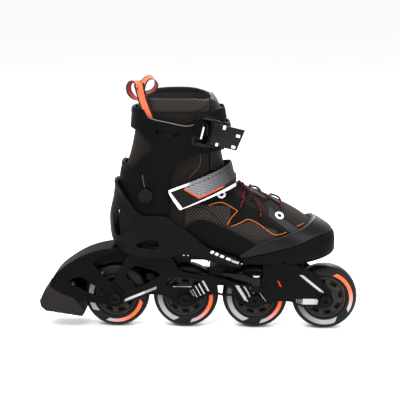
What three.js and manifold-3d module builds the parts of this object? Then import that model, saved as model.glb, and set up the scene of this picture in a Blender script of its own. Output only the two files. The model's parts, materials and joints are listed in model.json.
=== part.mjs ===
// A child's adjustable inline skate for the right foot, in millimetres, +Z up.
// +X points to the toe and +Y to the inner side of the foot. The origin lies on the ground under the middle.
// The boot is drawn as one soft form. Every shell, strap and liner is a layer of that form, cut to a side outline.
import * as THREE from "three";
import { mergeVertices } from "three/addons/utils/BufferGeometryUtils.js";
import Module from "manifold-3d";

const wasm = await Module();
wasm.setup();

// ---- Driving dimensions ----

const clearance = 0.3; // between pieces that touch

const wheelRadius = 38;
const wheelWidth = 24;
const wheelGap = 4; // free space between neighbouring wheels
const wheelCount = 4;
const axlePitch = 2 * wheelRadius + wheelGap;
const treadSides = 32; // the tread is this many flats, and the wheel stands on one
const axleHeight = wheelRadius * Math.cos(Math.PI / treadSides);
const coreRadius = 24;
const bearingRadius = 11;
const bearingWidth = 7;
const axleRadius = 4;
const bearingBore = axleRadius + clearance;
const axleHeadRadius = 6.5;
const axleHeadHeight = 3;

const plateInner = 14.5; // half the inner width of the frame
const plateThickness = 4.5;
const plateOuter = plateInner + plateThickness;
const armThickness = 3; // the brake's side arms lie outside the frame's plates
const bossFace = plateOuter + clearance + armThickness;
const axleX = Array.from({ length: wheelCount }, (_, i) => (i - 1.1875) * axlePitch);
const rearAxle = axleX[0];
const heelDeck = 2 * wheelRadius + 12; // the frame's top under the heel

const linerThickness = 6;
const earThickness = 1.4;
const earDepth = 1.8; // how far the liner stands back from the ears
const cuffInner = 2.4; // layer heights above the boot's soft form
const cuffOuter = 5.4;
const shellInner = 6.9;
const shellOuter = 9.9;
const toeInner = 1.5;
const toeOuter = 5;
const toeTravel = 20;

const bootLength = 1; // scale of the boot along X, from the rear axle
const bootWidth = 1; // scale of the boot along Y
const bootHeight = 1; // scale of the boot along Z, from the heel deck

const pivotRadius = 3.5;
const pivotHeadRadius = 8;
const strapInner = 7.6;
const strapOuter = 10;
const anchorOuter = shellOuter + clearance + 2.4;
const strapWidth = 28;
const ladderInner = 7;
const ladderOuter = 9.4;
const ladderWidth = 19.6;
const laceRadius = 1.6;

// The boot's outlines are drawn for a rear axle at X -95 and a heel deck at Z 88, and follow the real ones.
const drawnAxle = -95;
const drawnDeck = 88;
const bx = (x) => rearAxle + (x - drawnAxle) * bootLength;
const bz = (z) => heelDeck + (z - drawnDeck) * bootHeight;
const heelSole = bz(98.4); // underside of the soft boot's heel
const toeSole = bz(84); // and of its forefoot
const toeDeck = toeSole - toeOuter - clearance; // the frame's top under the forefoot

// ---- Solids ----

function solid(geometry) {
  const bare = geometry.index ? geometry.toNonIndexed() : geometry.clone();
  const plain = new THREE.BufferGeometry().setAttribute("position", bare.getAttribute("position"));
  const merged = mergeVertices(plain, 1e-4);
  const made = new wasm.Manifold(
    new wasm.Mesh({
      numProp: 3,
      vertProperties: new Float32Array(merged.attributes.position.array),
      triVerts: new Uint32Array(merged.index.array),
    }),
  );
  return made;
}

function geometryOf(shape) {
  const mesh = shape.getMesh();
  const positions = new Float32Array(mesh.numVert * 3);
  for (let i = 0; i < mesh.numVert; i++) {
    positions.set(mesh.vertProperties.subarray(i * mesh.numProp, i * mesh.numProp + 3), i * 3);
  }
  return new THREE.BufferGeometry()
    .setAttribute("position", new THREE.BufferAttribute(positions, 3))
    .setIndex(new THREE.BufferAttribute(new Uint32Array(mesh.triVerts), 1));
}

// A piece turned round the Y axis: its profile is a list of [radius, y], and it closes on itself.
function turned(profile, segments) {
  const loop = [...profile, profile[0]];
  let area = 0;
  for (let i = 0; i < profile.length; i++) {
    area += loop[i][0] * loop[i + 1][1] - loop[i + 1][0] * loop[i][1];
  }
  const ordered = area > 0 ? loop : loop.reverse();
  return solid(
    new THREE.LatheGeometry(
      ordered.map(([r, y]) => new THREE.Vector2(r, y)),
      segments,
    ),
  );
}

function block(x0, x1, y0, y1, z0, z1) {
  return solid(
    new THREE.BoxGeometry(x1 - x0, y1 - y0, z1 - z0).translate((x0 + x1) / 2, (y0 + y1) / 2, (z0 + z1) / 2),
  );
}

function rod(radius, y0, y1, x, z, segments = 16) {
  return turned([[0, y0], [radius, y0], [radius, y1], [0, y1]], segments).translate([x, 0, z]);
}

// A side outline, as [x, z] points, carried along Y from y0 to y1.
function sidePlate(outline, y0, y1, holes = []) {
  const shape = new THREE.Shape(outline.map(([x, z]) => new THREE.Vector2(x, z)));
  for (const hole of holes) {
    shape.holes.push(new THREE.Path(hole.map(([x, z]) => new THREE.Vector2(x, z))));
  }
  const made = new THREE.ExtrudeGeometry(shape, { depth: y1 - y0, bevelEnabled: false });
  return solid(made.rotateX(Math.PI / 2).translate(0, y1, 0));
}

// A smooth line through side points.
function smooth(points, perPoint = 2) {
  const curve = new THREE.CatmullRomCurve3(points.map(([x, z]) => new THREE.Vector3(x, z, 0)));
  return curve.getPoints((points.length - 1) * perPoint).map((p) => [p.x, p.y]);
}

// The same outline in the boot's own drawing, moved to the boot's real place.
const onBoot = (points) => points.map(([x, z]) => [bx(x), bz(z)]);
const bootPlate = (points, y0 = -80, y1 = 80) => sidePlate(onBoot(points), y0, y1);

// A closed skin over rings of points that all hold the same number.
function loft(rings) {
  const count = rings[0].length;
  const positions = rings.flat(2);
  const index = [];
  for (let r = 0; r + 1 < rings.length; r++) {
    for (let i = 0; i < count; i++) {
      const j = (i + 1) % count;
      const a = r * count + i;
      const b = r * count + j;
      index.push(a, b, b + count, a, b + count, a + count);
    }
  }
  const middle = (ring) => ring.reduce((s, p) => s.map((v, k) => v + p[k] / count), [0, 0, 0]);
  const first = positions.length / 3;
  positions.push(...middle(rings[0]), ...middle(rings[rings.length - 1]));
  const base = (rings.length - 1) * count;
  for (let i = 0; i < count; i++) {
    const j = (i + 1) % count;
    index.push(first, j, i, first + 1, base + i, base + j);
  }
  const made = solid(
    new THREE.BufferGeometry()
      .setAttribute("position", new THREE.BufferAttribute(new Float32Array(positions), 3))
      .setIndex(index),
  );
  return made;
}

// ---- The boot's soft form ----

// Level sections of the leg: height, back, front, half width.
const legSections = [
  [98.4, -80, -10, 24],
  [101, -87, -4, 29],
  [111, -91, 6, 32],
  [134, -92, 14, 34],
  [155, -87.5, 26, 34.5],
  [172, -85.5, 36, 34.5],
  [188, -83, 35, 34],
  [208, -77, 31, 33.5],
  [232, -72, 30, 34],
  [250, -70, 27, 35],
  [266, -67, 19, 35],
  [290, -64, 8, 34],
];
// Upright sections of the foot: distance along, top, bottom, half width, sideways shift of the ridge.
const footSections = [
  [-72, 130, 99, 22, 0],
  [-50, 150, 98.4, 31, 0],
  [-20, 168, 98, 34, 1],
  [5, 172, 94, 36, 2],
  [25, 172, 89, 38.5, 4],
  [45, 168, 85.5, 41, 6],
  [66, 160, 84, 42.5, 8],
  [88, 150, 84, 42.5, 8],
  [108, 140, 84.6, 40, 7],
  [124, 130, 87.5, 34.5, 5],
  [137, 122, 91.5, 27, 3],
  [146, 115, 95.5, 17, 1],
  [150, 108, 99, 7, 0],
];
const legPoints = 18;
const footPoints = 18;

const power = (value, exponent) => Math.sign(value) * Math.abs(value) ** exponent;

function legRing([z, back, front, half], offset) {
  const sole = offset * THREE.MathUtils.smoothstep(-z, -101.5, -legSections[0][0]);
  const ring = [];
  for (let i = 0; i < legPoints; i++) {
    const t = (2 * Math.PI * i) / legPoints;
    const x = bx((back + front) / 2) + (((front - back) / 2) * bootLength + offset) * power(Math.cos(t), 0.84);
    ring.push([x, (half * bootWidth + offset) * power(Math.sin(t), 0.84), bz(z) - sole]);
  }
  return ring;
}

// A point of the foot's section, with the angle t measured from the outer side over the top.
function footPoint([along, top, bottom, half, ridge], offset, t) {
  const middle = bottom + 0.36 * (top - bottom);
  const up = Math.max(0, Math.sin(t));
  const reach = up > 0 ? (top - middle) * bootHeight + offset : (middle - bottom) * bootHeight + offset;
  const roundness = up > 0 ? 0.92 : 0.55;
  const taper = THREE.MathUtils.smoothstep(along, 105, 150) - THREE.MathUtils.smoothstep(-along, 50, 72);
  return [
    bx(along) + offset * taper,
    -(half * bootWidth + offset) * power(Math.cos(t), roundness) + ridge * up ** 1.5,
    bz(middle) + reach * power(Math.sin(t), roundness),
  ];
}

function footRing(row, offset) {
  return Array.from({ length: footPoints }, (_, i) => footPoint(row, offset, (-2 * Math.PI * i) / footPoints));
}

const forms = new Map();
function form(offset) {
  if (!forms.has(offset)) {
    const leg = loft(legSections.map((row) => legRing(row, offset)));
    const foot = loft(footSections.map((row) => footRing(row, offset)));
    forms.set(offset, { leg, foot, boot: leg.add(foot) });
  }
  return forms.get(offset);
}
const layer = (inner, outer, part = "boot") => form(outer)[part].subtract(form(inner)[part]);

// ---- Materials ----

const finish = (color, roughness, metalness = 0) => new THREE.MeshStandardMaterial({ color, roughness, metalness });
const materials = {
  blackPlastic: finish(0x17181a, 0.45),
  glossPlastic: finish(0x101113, 0.25),
  rubber: finish(0x2b2a28, 0.8),
  tyre: finish(0x24262a, 0.5),
  core: finish(0x4b4441, 0.4),
  steel: finish(0xb9bcc0, 0.25, 1),
  darkSteel: finish(0x2c2d30, 0.35, 1),
  mesh: finish(0x38302b, 0.9),
  softBlack: finish(0x1b1b1c, 0.85),
  leather: finish(0x202123, 0.6),
  strap: finish(0x8e9092, 0.6),
  lace: finish(0x4a1f24, 0.9),
  webbing: finish(0xf2622e, 0.85),
};

const skate = new THREE.Group();
function add(name, shape, material, group = skate) {
  const mesh = new THREE.Mesh(geometryOf(shape), material);
  mesh.name = name;
  group.add(mesh);
  return mesh;
}

// ---- Wheels ----

function tyre() {
  const side = wheelWidth / 2;
  return turned(
    [
      [coreRadius + clearance, -side + 1],
      [wheelRadius - 5, -side],
      [wheelRadius - 1.2, -side + 4.4],
      [wheelRadius, -side + 8],
      [wheelRadius, side - 8],
      [wheelRadius - 1.2, side - 4.4],
      [wheelRadius - 5, side],
      [coreRadius + clearance, side - 1],
    ],
    treadSides,
  ).rotate([0, 180 / treadSides, 0]);
}

function core() {
  const side = wheelWidth / 2;
  const seat = bearingRadius + clearance;
  const stop = side - bearingWidth - clearance;
  const body = turned(
    [
      [seat - 2.4, -stop],
      [seat, -stop],
      [seat, -side + clearance],
      [seat + 2.4, -side + clearance],
      [seat + 3.6, -4],
      [coreRadius - 3, -4],
      [coreRadius - 2.6, -side + 1.6],
      [coreRadius, -side + 1.6],
      [coreRadius, side - 1.6],
      [coreRadius - 2.6, side - 1.6],
      [coreRadius - 3, 4],
      [seat + 3.6, 4],
      [seat + 2.4, side - clearance],
      [seat, side - clearance],
      [seat, stop],
      [seat - 2.4, stop],
    ],
    treadSides / 2,
  );
  const slot = block(seat + 4.2, coreRadius - 4, -side, side, -4.5, 4.5);
  let made = body;
  for (let i = 0; i < 5; i++) {
    made = made.subtract(slot.rotate([0, (360 * i) / 5 + 18, 0]));
  }
  return made;
}

function bearing(sign) {
  const face = wheelWidth / 2;
  const ends = [sign * face, sign * (face - bearingWidth)].sort((a, b) => a - b);
  return turned(
    [
      [bearingBore, ends[0]],
      [bearingRadius, ends[0]],
      [bearingRadius, ends[1]],
      [bearingBore, ends[1]],
    ],
    16,
  );
}

function spacer() {
  const half = wheelWidth / 2 - bearingWidth - clearance;
  return turned([[bearingBore, -half], [bearingBore + 1.6, -half], [bearingBore + 1.6, half], [bearingBore, half]], 12);
}

// The bolt's head lies on the outer side, and its nut on the inner side.
const headSeat = bossFace + clearance;
function axleBolt() {
  const tip = headSeat + 4;
  const bolt = turned(
    [
      [0, tip],
      [axleRadius, tip],
      [axleRadius, -headSeat],
      [axleHeadRadius, -headSeat],
      [axleHeadRadius, -headSeat - axleHeadHeight],
      [0, -headSeat - axleHeadHeight],
    ],
    16,
  );
  const socket = new THREE.CylinderGeometry(3, 3, 4, 6).translate(0, -headSeat - axleHeadHeight, 0);
  return bolt.subtract(solid(socket));
}

function axleNut() {
  const height = axleHeadHeight + 1;
  const hex = solid(new THREE.CylinderGeometry(axleHeadRadius, axleHeadRadius, height, 6));
  return hex
    .subtract(rod(bearingBore, -height, height, 0, 0, 14))
    .translate([0, headSeat + height / 2, 0]);
}

const wheelShapes = {
  tyre: [tyre(), materials.tyre],
  wheel_core: [core(), materials.core],
  bearing_outer: [bearing(-1), materials.steel],
  bearing_inner: [bearing(1), materials.steel],
  bearing_spacer: [spacer(), materials.steel],
  axle_bolt: [axleBolt(), materials.darkSteel],
  axle_nut: [axleNut(), materials.darkSteel],
};
axleX.forEach((x, i) => {
  for (const [name, [shape, material]] of Object.entries(wheelShapes)) {
    add(`${name}_${i + 1}`, shape, material).position.set(x, 0, axleHeight);
  }
});

// ---- Frame ----

const guideX = axleX[2] + axlePitch / 2; // the screw that the toe shell slides on
const leverPin = { x: axleX[2] + 1, y: -plateOuter - 6, z: axleHeight + 21 };
const leverHubRadius = 5.5;
const pinRadius = 2.4;
const deckBolts = [rearAxle + 24, rearAxle + 52];
const deckBoltRadius = 3;

function frameOutline() {
  const [a, b, c, d] = axleX;
  const h = axleHeight;
  const edge = smooth(
    [
      [a + 14, heelDeck],
      [a + 3, heelDeck - 22],
      [a - 6, h + 14],
      [a - 10, h + 3],
      [a - 6, h - 8],
      [a + 6, h - 9],
      [a + 26, h - 1],
      [a + 40, h + 3],
      [b - 24, h + 2],
      [b - 12, h - 7],
      [b, h - 11],
      [b + 12, h - 7],
      [b + 27, h + 3],
      [c - 30, h + 4],
      [c - 14, h - 7],
      [c, h - 12],
      [c + 13, h - 6],
      [c + 34, h - 3],
      [d - 18, h - 8],
      [d, h - 10.5],
      [d + 9, h - 3],
      [d + 7, h + 8],
      [d - 5, h + 22],
      [d - 20, h + 34],
      [d - 34, toeDeck],
    ],
  );
  return [
    ...edge,
    [c + 9, toeDeck],
    [c + 8, h + 25],
    [c, h + 20],
    [c - 16, h + 18],
    [c - 37, h + 24],
    [b + 22, h + 28],
    [b + 6, h + 29],
    [b - 7, h + 34],
    [b - 14, heelDeck - 5],
    [b - 16, heelDeck],
  ];
}

function frame() {
  const [a, b, c, d] = axleX;
  const h = axleHeight;
  const outline = frameOutline();
  const windows = [
    [[a + 13, h + 28], [a + 24, h + 37], [b - 32, h + 30], [b - 31, h + 25], [a + 24, h + 11], [a + 15, h + 20]],
    [[b - 19, h + 14], [b - 21, h + 23], [b - 5, h + 24], [b + 13, h + 22], [b + 16, h + 20], [b + 11, h + 14]],
    [[c - 43, h + 15], [c - 34, h + 15], [c - 22, h + 7], [c - 24, h + 5], [c - 42, h + 6]],
  ];
  let made = sidePlate(outline, -plateOuter, -plateInner, windows);
  made = made.add(sidePlate(outline, plateInner, plateOuter, windows));
  // Cross walls between the plates tie them together clear of the wheels.
  for (const x of [(a + b) / 2, (b + c) / 2, (c + d) / 2]) {
    made = made.add(block(x - 4.5, x + 4.5, -plateInner - 1, plateInner + 1, h + 20, h + 27));
  }
  made = made.add(block(a + 14, b - 18, -plateInner - 1, plateInner + 1, heelDeck - 9, heelDeck));
  made = made.add(block(guideX - 15, guideX + 15, -plateInner - 1, plateInner + 1, toeDeck - 6, toeDeck));
  // Bosses carry the axle bolts outside the plates and meet the bearings inside.
  axleX.forEach((x, i) => {
    for (const side of [-1, 1]) {
      const ends = [side * (plateInner + 0.5), side * (wheelWidth / 2 + clearance)].sort((p, q) => p - q);
      made = made.add(rod(6.2, ends[0], ends[1], x, h, 12));
      if (i > 0) {
        const out = [side * (plateOuter - 0.5), side * bossFace].sort((p, q) => p - q);
        made = made.add(rod(9.5, out[0], out[1], x, h, 16));
      }
    }
    made = made.subtract(rod(bearingBore, -40, 40, x, h, 12));
  });
  // A lug on the outer side holds the size lever's pin.
  const lugTop = leverPin.z - 4;
  made = made.add(block(leverPin.x - 6, leverPin.x + 6, leverPin.y - 5, -plateInner - 1, lugTop - 7, lugTop));
  const pinHole = new THREE.CylinderGeometry(pinRadius + clearance, pinRadius + clearance, 30, 12);
  made = made.subtract(solid(pinHole.rotateX(Math.PI / 2).translate(leverPin.x, leverPin.y, lugTop + 9)));
  const deckHole = new THREE.CylinderGeometry(deckBoltRadius + clearance, deckBoltRadius + clearance, 60, 12);
  deckHole.rotateX(Math.PI / 2);
  for (const x of [...deckBolts, guideX]) {
    made = made.subtract(solid(deckHole.clone().translate(x, 0, heelDeck - 5)));
  }
  return made;
}
add("frame", frame(), materials.blackPlastic);

// ---- Brake ----

const drawnRadius = 38; // the brake is drawn round a wheel of this radius, and spreads with the real one
const hubReach = 20; // nearer the axle than this, nothing moves
function br(dx, dz) {
  const reach = Math.hypot(dx, dz);
  const share = THREE.MathUtils.clamp((reach - hubReach) / (drawnRadius - hubReach), 0, 1);
  const ratio = 1 + ((wheelRadius - drawnRadius) * share) / reach;
  return [rearAxle + dx * ratio, axleHeight + dz * ratio];
}
const padTop = [br(-76, 13), br(-61, 4), br(-47, -1), br(-43, -7)];

function brakeHousing() {
  const outline = [
    br(10, 59), br(-2, 58.5), br(-18, 56), br(-38, 49), br(-60, 35), br(-72, 23), ...padTop,
    br(-35, -5), br(-16, -8), br(-7, -10), br(3, -10.5), br(9, -6), br(11, 1), br(7, 9),
    br(-5, 19), br(-17, 30), br(-25, 40), br(-20, 45), br(-4, 53), br(11, 54),
  ];
  const opening = [br(-54, 18), br(-40, 24), br(-28, 16), br(-13, 8), br(-15, 1), br(-36, 8)];
  const inner = plateOuter + clearance;
  let made = sidePlate(outline, -bossFace, -inner, [opening]);
  made = made.add(sidePlate(outline, inner, bossFace, [opening]));
  const back = [
    br(-2, 58.5), br(-18, 56), br(-38, 49), br(-60, 35), br(-72, 23), padTop[0], padTop[1], padTop[2], padTop[3],
    br(-42, -3), br(-46, 2), br(-60, 7), br(-70, 14), br(-69, 21), br(-58, 30), br(-37, 43.5), br(-18, 50.5),
    br(-2, 53.5),
  ];
  made = made.add(sidePlate(back, -inner - 1, inner + 1));
  made = made.add(upright(padSeat, padBolt.z + 2.2, padBolt.z + padFloor, padBolt.x));
  made = made.subtract(form(shellOuter + clearance).boot);
  return made.subtract(rod(bearingBore, -40, 40, rearAxle, axleHeight, 14)).subtract(padBoltHole());
}

const [padBoltX, padBoltZ] = br(-55, 2);
const padBolt = { x: padBoltX, z: padBoltZ };
const padSeat = 6;
const padFloor = 5.8; // height of the screw's seat over the screw's own mark
function upright(radius, z0, z1, x, y = 0, segments = 14) {
  const made = new THREE.CylinderGeometry(radius, radius, z1 - z0, segments);
  return solid(made.rotateX(Math.PI / 2).translate(x, y, (z0 + z1) / 2));
}
const padBoltHole = () => upright(2.8, padBolt.z - 14, padBolt.z + 12, padBolt.x);

function brakePad() {
  const outline = [
    ...padTop.map(([x, z]) => [x, z - clearance]),
    br(-36, -19), br(-39, -23), br(-81, -17), br(-86.5, -12), br(-88, -5), br(-81, 10),
  ];
  return sidePlate(outline, -bossFace, bossFace).subtract(padBoltHole());
}

function padScrew() {
  const seat = padBolt.z + padFloor + clearance;
  return upright(2.4, padBolt.z - 13, seat, padBolt.x).add(upright(4.6, seat, seat + 3, padBolt.x));
}
add("brake_housing", brakeHousing(), materials.blackPlastic);
add("brake_pad", brakePad(), materials.rubber);
add("brake_pad_screw", padScrew(), materials.steel);

// ---- Heel shell ----

const pivot = { x: bx(-57), z: bz(161) };
const strapRivet = { x: bx(-18), z: bz(118) };
function strapRivetHole() {
  return rod(3 + clearance, 20, 80, strapRivet.x, strapRivet.z);
}
const rimOutline = [
  [-112, 176], [-104, 176], [-96, 175], [-89, 170], [-80, 158], [-70, 146], [-64, 141], [-58, 139], [-39, 139],
  [-31, 137], [-27, 133], [-20, 127], [-9, 121], [4, 110], [14, 103], [25, 99], [43, 94], [50, 83], [46, 76],
  [40, 60], [-112, 60],
];

const keelHalf = 19;
function heelShell() {
  let made = layer(shellInner, shellOuter).intersect(bootPlate(rimOutline));
  // The floor stops where the toe shell's floor takes over.
  made = made.subtract(block(bx(12), bx(70), -bootWidth * 27, bootWidth * 27, bz(40), bz(84)));
  // A keel under the arch closes the shell down towards the wheels.
  const keel = block(bx(-27), bx(19.4), -keelHalf, keelHalf, bz(82.8), bz(99)).subtract(form(shellInner).boot);
  made = made.add(keel);
  // Ears stand up inside the cuff and carry its rivets, on a root that joins them to the wall.
  const ear = layer(0, earThickness).intersect(bootPlate([[-70, 110], [-44, 110], [-46, 164], [-52, 170], [-62, 170], [-68, 164]]));
  const root = layer(0, shellInner + 1).intersect(bootPlate([[-70, 113], [-44, 113], [-44, 121], [-70, 121]]));
  made = made.add(ear.add(root).subtract(block(bx(-80), bx(-30), -20, 20, bz(90), bz(180))));
  made = made.subtract(bootPlate([[-68, 105], [-55, 111], [-49, 111], [-43, 107], [-47, 101], [-63, 101]]));
  // Two air openings beside the heel leave a spine between them.
  const vents = bootPlate([[-93, 145], [-85, 139], [-77, 130], [-78, 121], [-90, 113], [-94, 123]]);
  made = made.subtract(vents.subtract(block(bx(-120), bx(-60), -11, 11, bz(100), bz(160))));
  made = made.subtract(rod(pivotRadius + clearance, -60, 60, pivot.x, pivot.z));
  for (const x of deckBolts) {
    made = made.subtract(upright(deckBoltRadius + clearance, heelDeck - 5, heelSole, x));
  }
  made = made.subtract(strapRivetHole());
  return made.intersect(block(-400, 400, -80, 80, heelDeck + clearance, 500).add(block(bx(-27), 400, -80, 80, 0, 500)));
}
add("heel_shell", heelShell(), materials.blackPlastic);

const headGap = 0.4;
function deckBolt(x, seat, foot) {
  const shaft = upright(deckBoltRadius, foot, seat + headGap, x);
  return shaft.add(upright(6, seat + headGap, seat + headGap + 2.4, x));
}
const heelFloor = heelSole - shellInner;
add("deck_bolt_rear", deckBolt(deckBolts[0], heelFloor, heelDeck - 12), materials.steel);
add("deck_bolt_front", deckBolt(deckBolts[1], heelFloor, heelDeck - 12), materials.steel);

// ---- Toe shell, which slides out to lengthen the boot ----

const toeEdge = [[49, 91], [89, 101], [116, 108], [137, 114.6], [170, 117]];
const grow = (points, dz) => points.map(([x, z]) => [x, z + dz]);

// The room that the soft upper takes, as the toe shell sees it, while the shell slides out.
function upperPath() {
  const { foot } = form(clearance);
  return foot.translate([-toeTravel / 2, 0, 0]).add(foot.translate([-toeTravel, 0, 0]));
}

function toeShell() {
  const outline = [[20, 60], [20, 89], [34, 88], ...toeEdge, [170, 60]];
  const slot = guideSlot(guideScrewRadius + 0.5, toeSole - 20, toeSole + 10);
  const recess = guideSlot(guideHeadRadius + 0.5, guideSeat, toeSole + 10);
  const made = layer(toeInner, toeOuter).intersect(bootPlate(outline)).subtract(slot).subtract(recess);
  return made.subtract(upperPath());
}

const guideScrewRadius = 3;
const guideHeadRadius = 5.5;
const guideSeat = toeSole - toeInner - 1.8; // the screw's head runs in a recess of the floor
function guideSlot(radius, z0, z1) {
  const ends = [guideX - toeTravel, guideX];
  const middle = block(ends[0], ends[1], -radius, radius, z0, z1);
  return middle.add(upright(radius, z0, z1, ends[0])).add(upright(radius, z0, z1, ends[1]));
}
function guideScrew() {
  const shaft = upright(guideScrewRadius, toeDeck - 9, guideSeat + clearance, guideX);
  return shaft.add(upright(guideHeadRadius, guideSeat + clearance, toeSole - 0.4, guideX));
}
add("toe_shell", toeShell(), materials.blackPlastic);
add("toe_guide_screw", guideScrew(), materials.steel);

const randTop = [[130, 131], [116, 124], [82, 114], [64, 108], [44, 93.5]];
function toeRand() {
  const outline = [...grow(toeEdge, 0.5), [170, 134], [150, 134], ...randTop];
  return layer(0.5, toeOuter).intersect(bootPlate(outline)).subtract(upperPath());
}
add("toe_rand", toeRand(), materials.leather);

const guardOutline = [
  [-16, 122], [-6, 131], [5, 134], [16, 131.5], [35, 124], [60, 111], [62, 107.6], [43, 93.6], [34, 92.4],
  [22, 98], [-2, 106], [-16, 110],
];
for (const [name, y0, y1] of [["side_guard_outer", -80, -5], ["side_guard_inner", 5, 80]]) {
  add(name, layer(0.5, toeOuter).intersect(bootPlate(guardOutline, y0, y1)), materials.blackPlastic);
}

// ---- Size lever ----

function sizeLever() {
  const { x, y, z } = leverPin;
  const blade = sidePlate([[x - 37, z + 9], [x - 38, z + 12], [x - 14, z + 10], [x - 6, z + 7], [x, z + 6.8], [x, z - 2], [x - 8, z]], y - 3, y + 4.5);
  const hub = upright(leverHubRadius, z - 4 + clearance, z + 7, x, y, 18);
  return blade.add(hub).subtract(upright(pinRadius + clearance, z - 20, z + 20, x, y));
}
function sizeLeverPin() {
  const { x, y, z } = leverPin;
  return upright(pinRadius, z - 10, z + 7 + clearance, x, y).add(upright(4.6, z + 7 + clearance, z + 9, x, y));
}
add("size_lever", sizeLever(), materials.glossPlastic);
add("size_lever_pin", sizeLeverPin(), materials.steel);

// ---- Soft boot ----

const cavity = form(-linerThickness).boot;
const flexReach = 40; // the turning part of the liner ends on an arc round the rivets
const disc = (radius) => rod(radius, -80, 80, pivot.x, pivot.z, 40);
function rayPlate(degrees, above) {
  const slope = Math.tan(THREE.MathUtils.degToRad(degrees));
  const far = above ? 400 : -100;
  const at = (x) => [x, pivot.z + slope * (x - pivot.x)];
  return sidePlate([[pivot.x, pivot.z], at(pivot.x + 200), [pivot.x + 200, far], [pivot.x, far]], -80, 80);
}
const turnRay = 19;
const restRay = 4;
const behind = (above) =>
  above ? block(-400, pivot.x, -80, 80, pivot.z, 500) : block(-400, pivot.x + 0.01, -80, 80, -100, pivot.z);
const skin = form(-clearance).boot.subtract(cavity);
// The turning liner is thinner beside the rivets, where it swings past the shell's ears.
const earPocket = layer(-earDepth, 1, "leg").intersect(bootPlate([[-84, 100], [-32, 100], [-32, 176], [-84, 176]]));
const turning = skin
  .intersect(rayPlate(turnRay, true).add(behind(true)).add(disc(flexReach)))
  .subtract(earPocket.subtract(block(-400, 400, -14, 14, 0, 400)));
const resting = skin.intersect(rayPlate(restRay, false).add(behind(false))).subtract(disc(flexReach + 0.8));
const linerSplit = -15;

add("heel_liner", resting.intersect(block(-400, bx(linerSplit) - clearance, -80, 80, 0, 400)), materials.mesh);
add("forefoot_upper", resting.intersect(block(bx(linerSplit), 400, -80, 80, 0, 400)), materials.mesh);

const tongueFront = 12;
function ankleLiner() {
  const below = bootPlate([[-140, 262], [-95, 264], [-66, 268], [-22, 270], [9, 268], [60, 258], [60, 60], [-140, 60]]);
  return turning.intersect(below).intersect(block(-400, bx(tongueFront) - clearance, -80, 80, 0, 500));
}
function tongue() {
  const below = bootPlate([[0, 272], [14, 270], [24, 262], [34, 249], [60, 244], [60, 60], [0, 60]]);
  return turning.intersect(below).intersect(block(bx(tongueFront), 400, -80, 80, 0, 500));
}
add("ankle_liner", ankleLiner(), materials.mesh);
add("tongue", tongue(), materials.softBlack);

function insole() {
  const line = [[-84, 103.4], [-20, 103], [5, 99], [25, 94.4], [45, 91], [66, 89.6], [108, 90], [124, 92.4], [140, 97]];
  const top = grow(line, 2.6).reverse();
  return form(-linerThickness - 0.6).boot.intersect(bootPlate([...grow(line, 1.4), ...top]));
}
add("insole", insole(), materials.softBlack);

// ---- Laces: a zigzag over the forefoot, from side to side ----

// Points along the foot: distance along, and the angle over the section from the outer side, in degrees.
const laceRoute = [[50, 74], [56, 66], [58, 90], [60, 112], [66, 104], [70, 84], [72, 62], [78, 72], [82, 90], [84, 112], [90, 102], [93, 82], [94, 60]];
function footRow(along) {
  const i = Math.max(0, footSections.findIndex((row) => row[0] > along) - 1);
  const t = (along - footSections[i][0]) / (footSections[i + 1][0] - footSections[i][0]);
  return footSections[i].map((v, k) => v + t * (footSections[i + 1][k] - v));
}
function laces() {
  const points = laceRoute.map(([along, angle]) => {
    const [x, y, z] = footPoint(footRow(along), laceRadius + 0.6, THREE.MathUtils.degToRad(angle));
    return new THREE.Vector3(x, y, z);
  });
  const section = new THREE.Shape(
    Array.from({ length: 6 }, (_, i) => {
      const t = (Math.PI * i) / 3;
      return new THREE.Vector2(laceRadius * Math.cos(t), laceRadius * Math.sin(t));
    }),
  );
  const extrudePath = new THREE.CatmullRomCurve3(points);
  return solid(new THREE.ExtrudeGeometry(section, { steps: 44, bevelEnabled: false, extrudePath }));
}
add("laces", laces(), materials.lace);

// ---- Cuff ----

const ladderRivet = { x: bx(-6), z: bz(238.5) };
function ladderRivetHole() {
  return rod(3 + clearance, 20, 80, ladderRivet.x, ladderRivet.z);
}
const cuffOutline = [
  [-84, 257], [-70, 257], [-59, 256], [-53, 248], [-33, 244], [-12, 240], [-1, 243], [13, 253], [22, 257], [34, 256],
  [42, 240], [42, 215], [30, 210], [14, 209], [2, 208], [-12, 203], [-22, 196], [-29, 187], [-31, 176], [-32, 160],
  [-32, 133], [-40, 131.5], [-58, 131.5], [-66, 136], [-76, 147], [-87, 162], [-94, 168], [-112, 170], [-112, 197],
  [-92, 197], [-85, 196], [-77, 191], [-73, 192], [-65, 200], [-55, 208], [-49, 215], [-58, 224], [-66, 231],
  [-76, 234], [-112, 234], [-112, 257],
];
const frontGap = 12;

function cuff() {
  let made = layer(cuffInner, cuffOuter).intersect(bootPlate(cuffOutline));
  made = made.subtract(block(bx(8), 400, -frontGap, frontGap, bz(150), bz(300)));
  made = made.subtract(bootPlate([[-46, 233.5], [-34, 223], [-19, 229.5], [-32, 233]]));
  return made.subtract(rod(pivotRadius + clearance, -60, 60, pivot.x, pivot.z)).subtract(ladderRivetHole());
}
add("cuff", cuff(), materials.blackPlastic);

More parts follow.
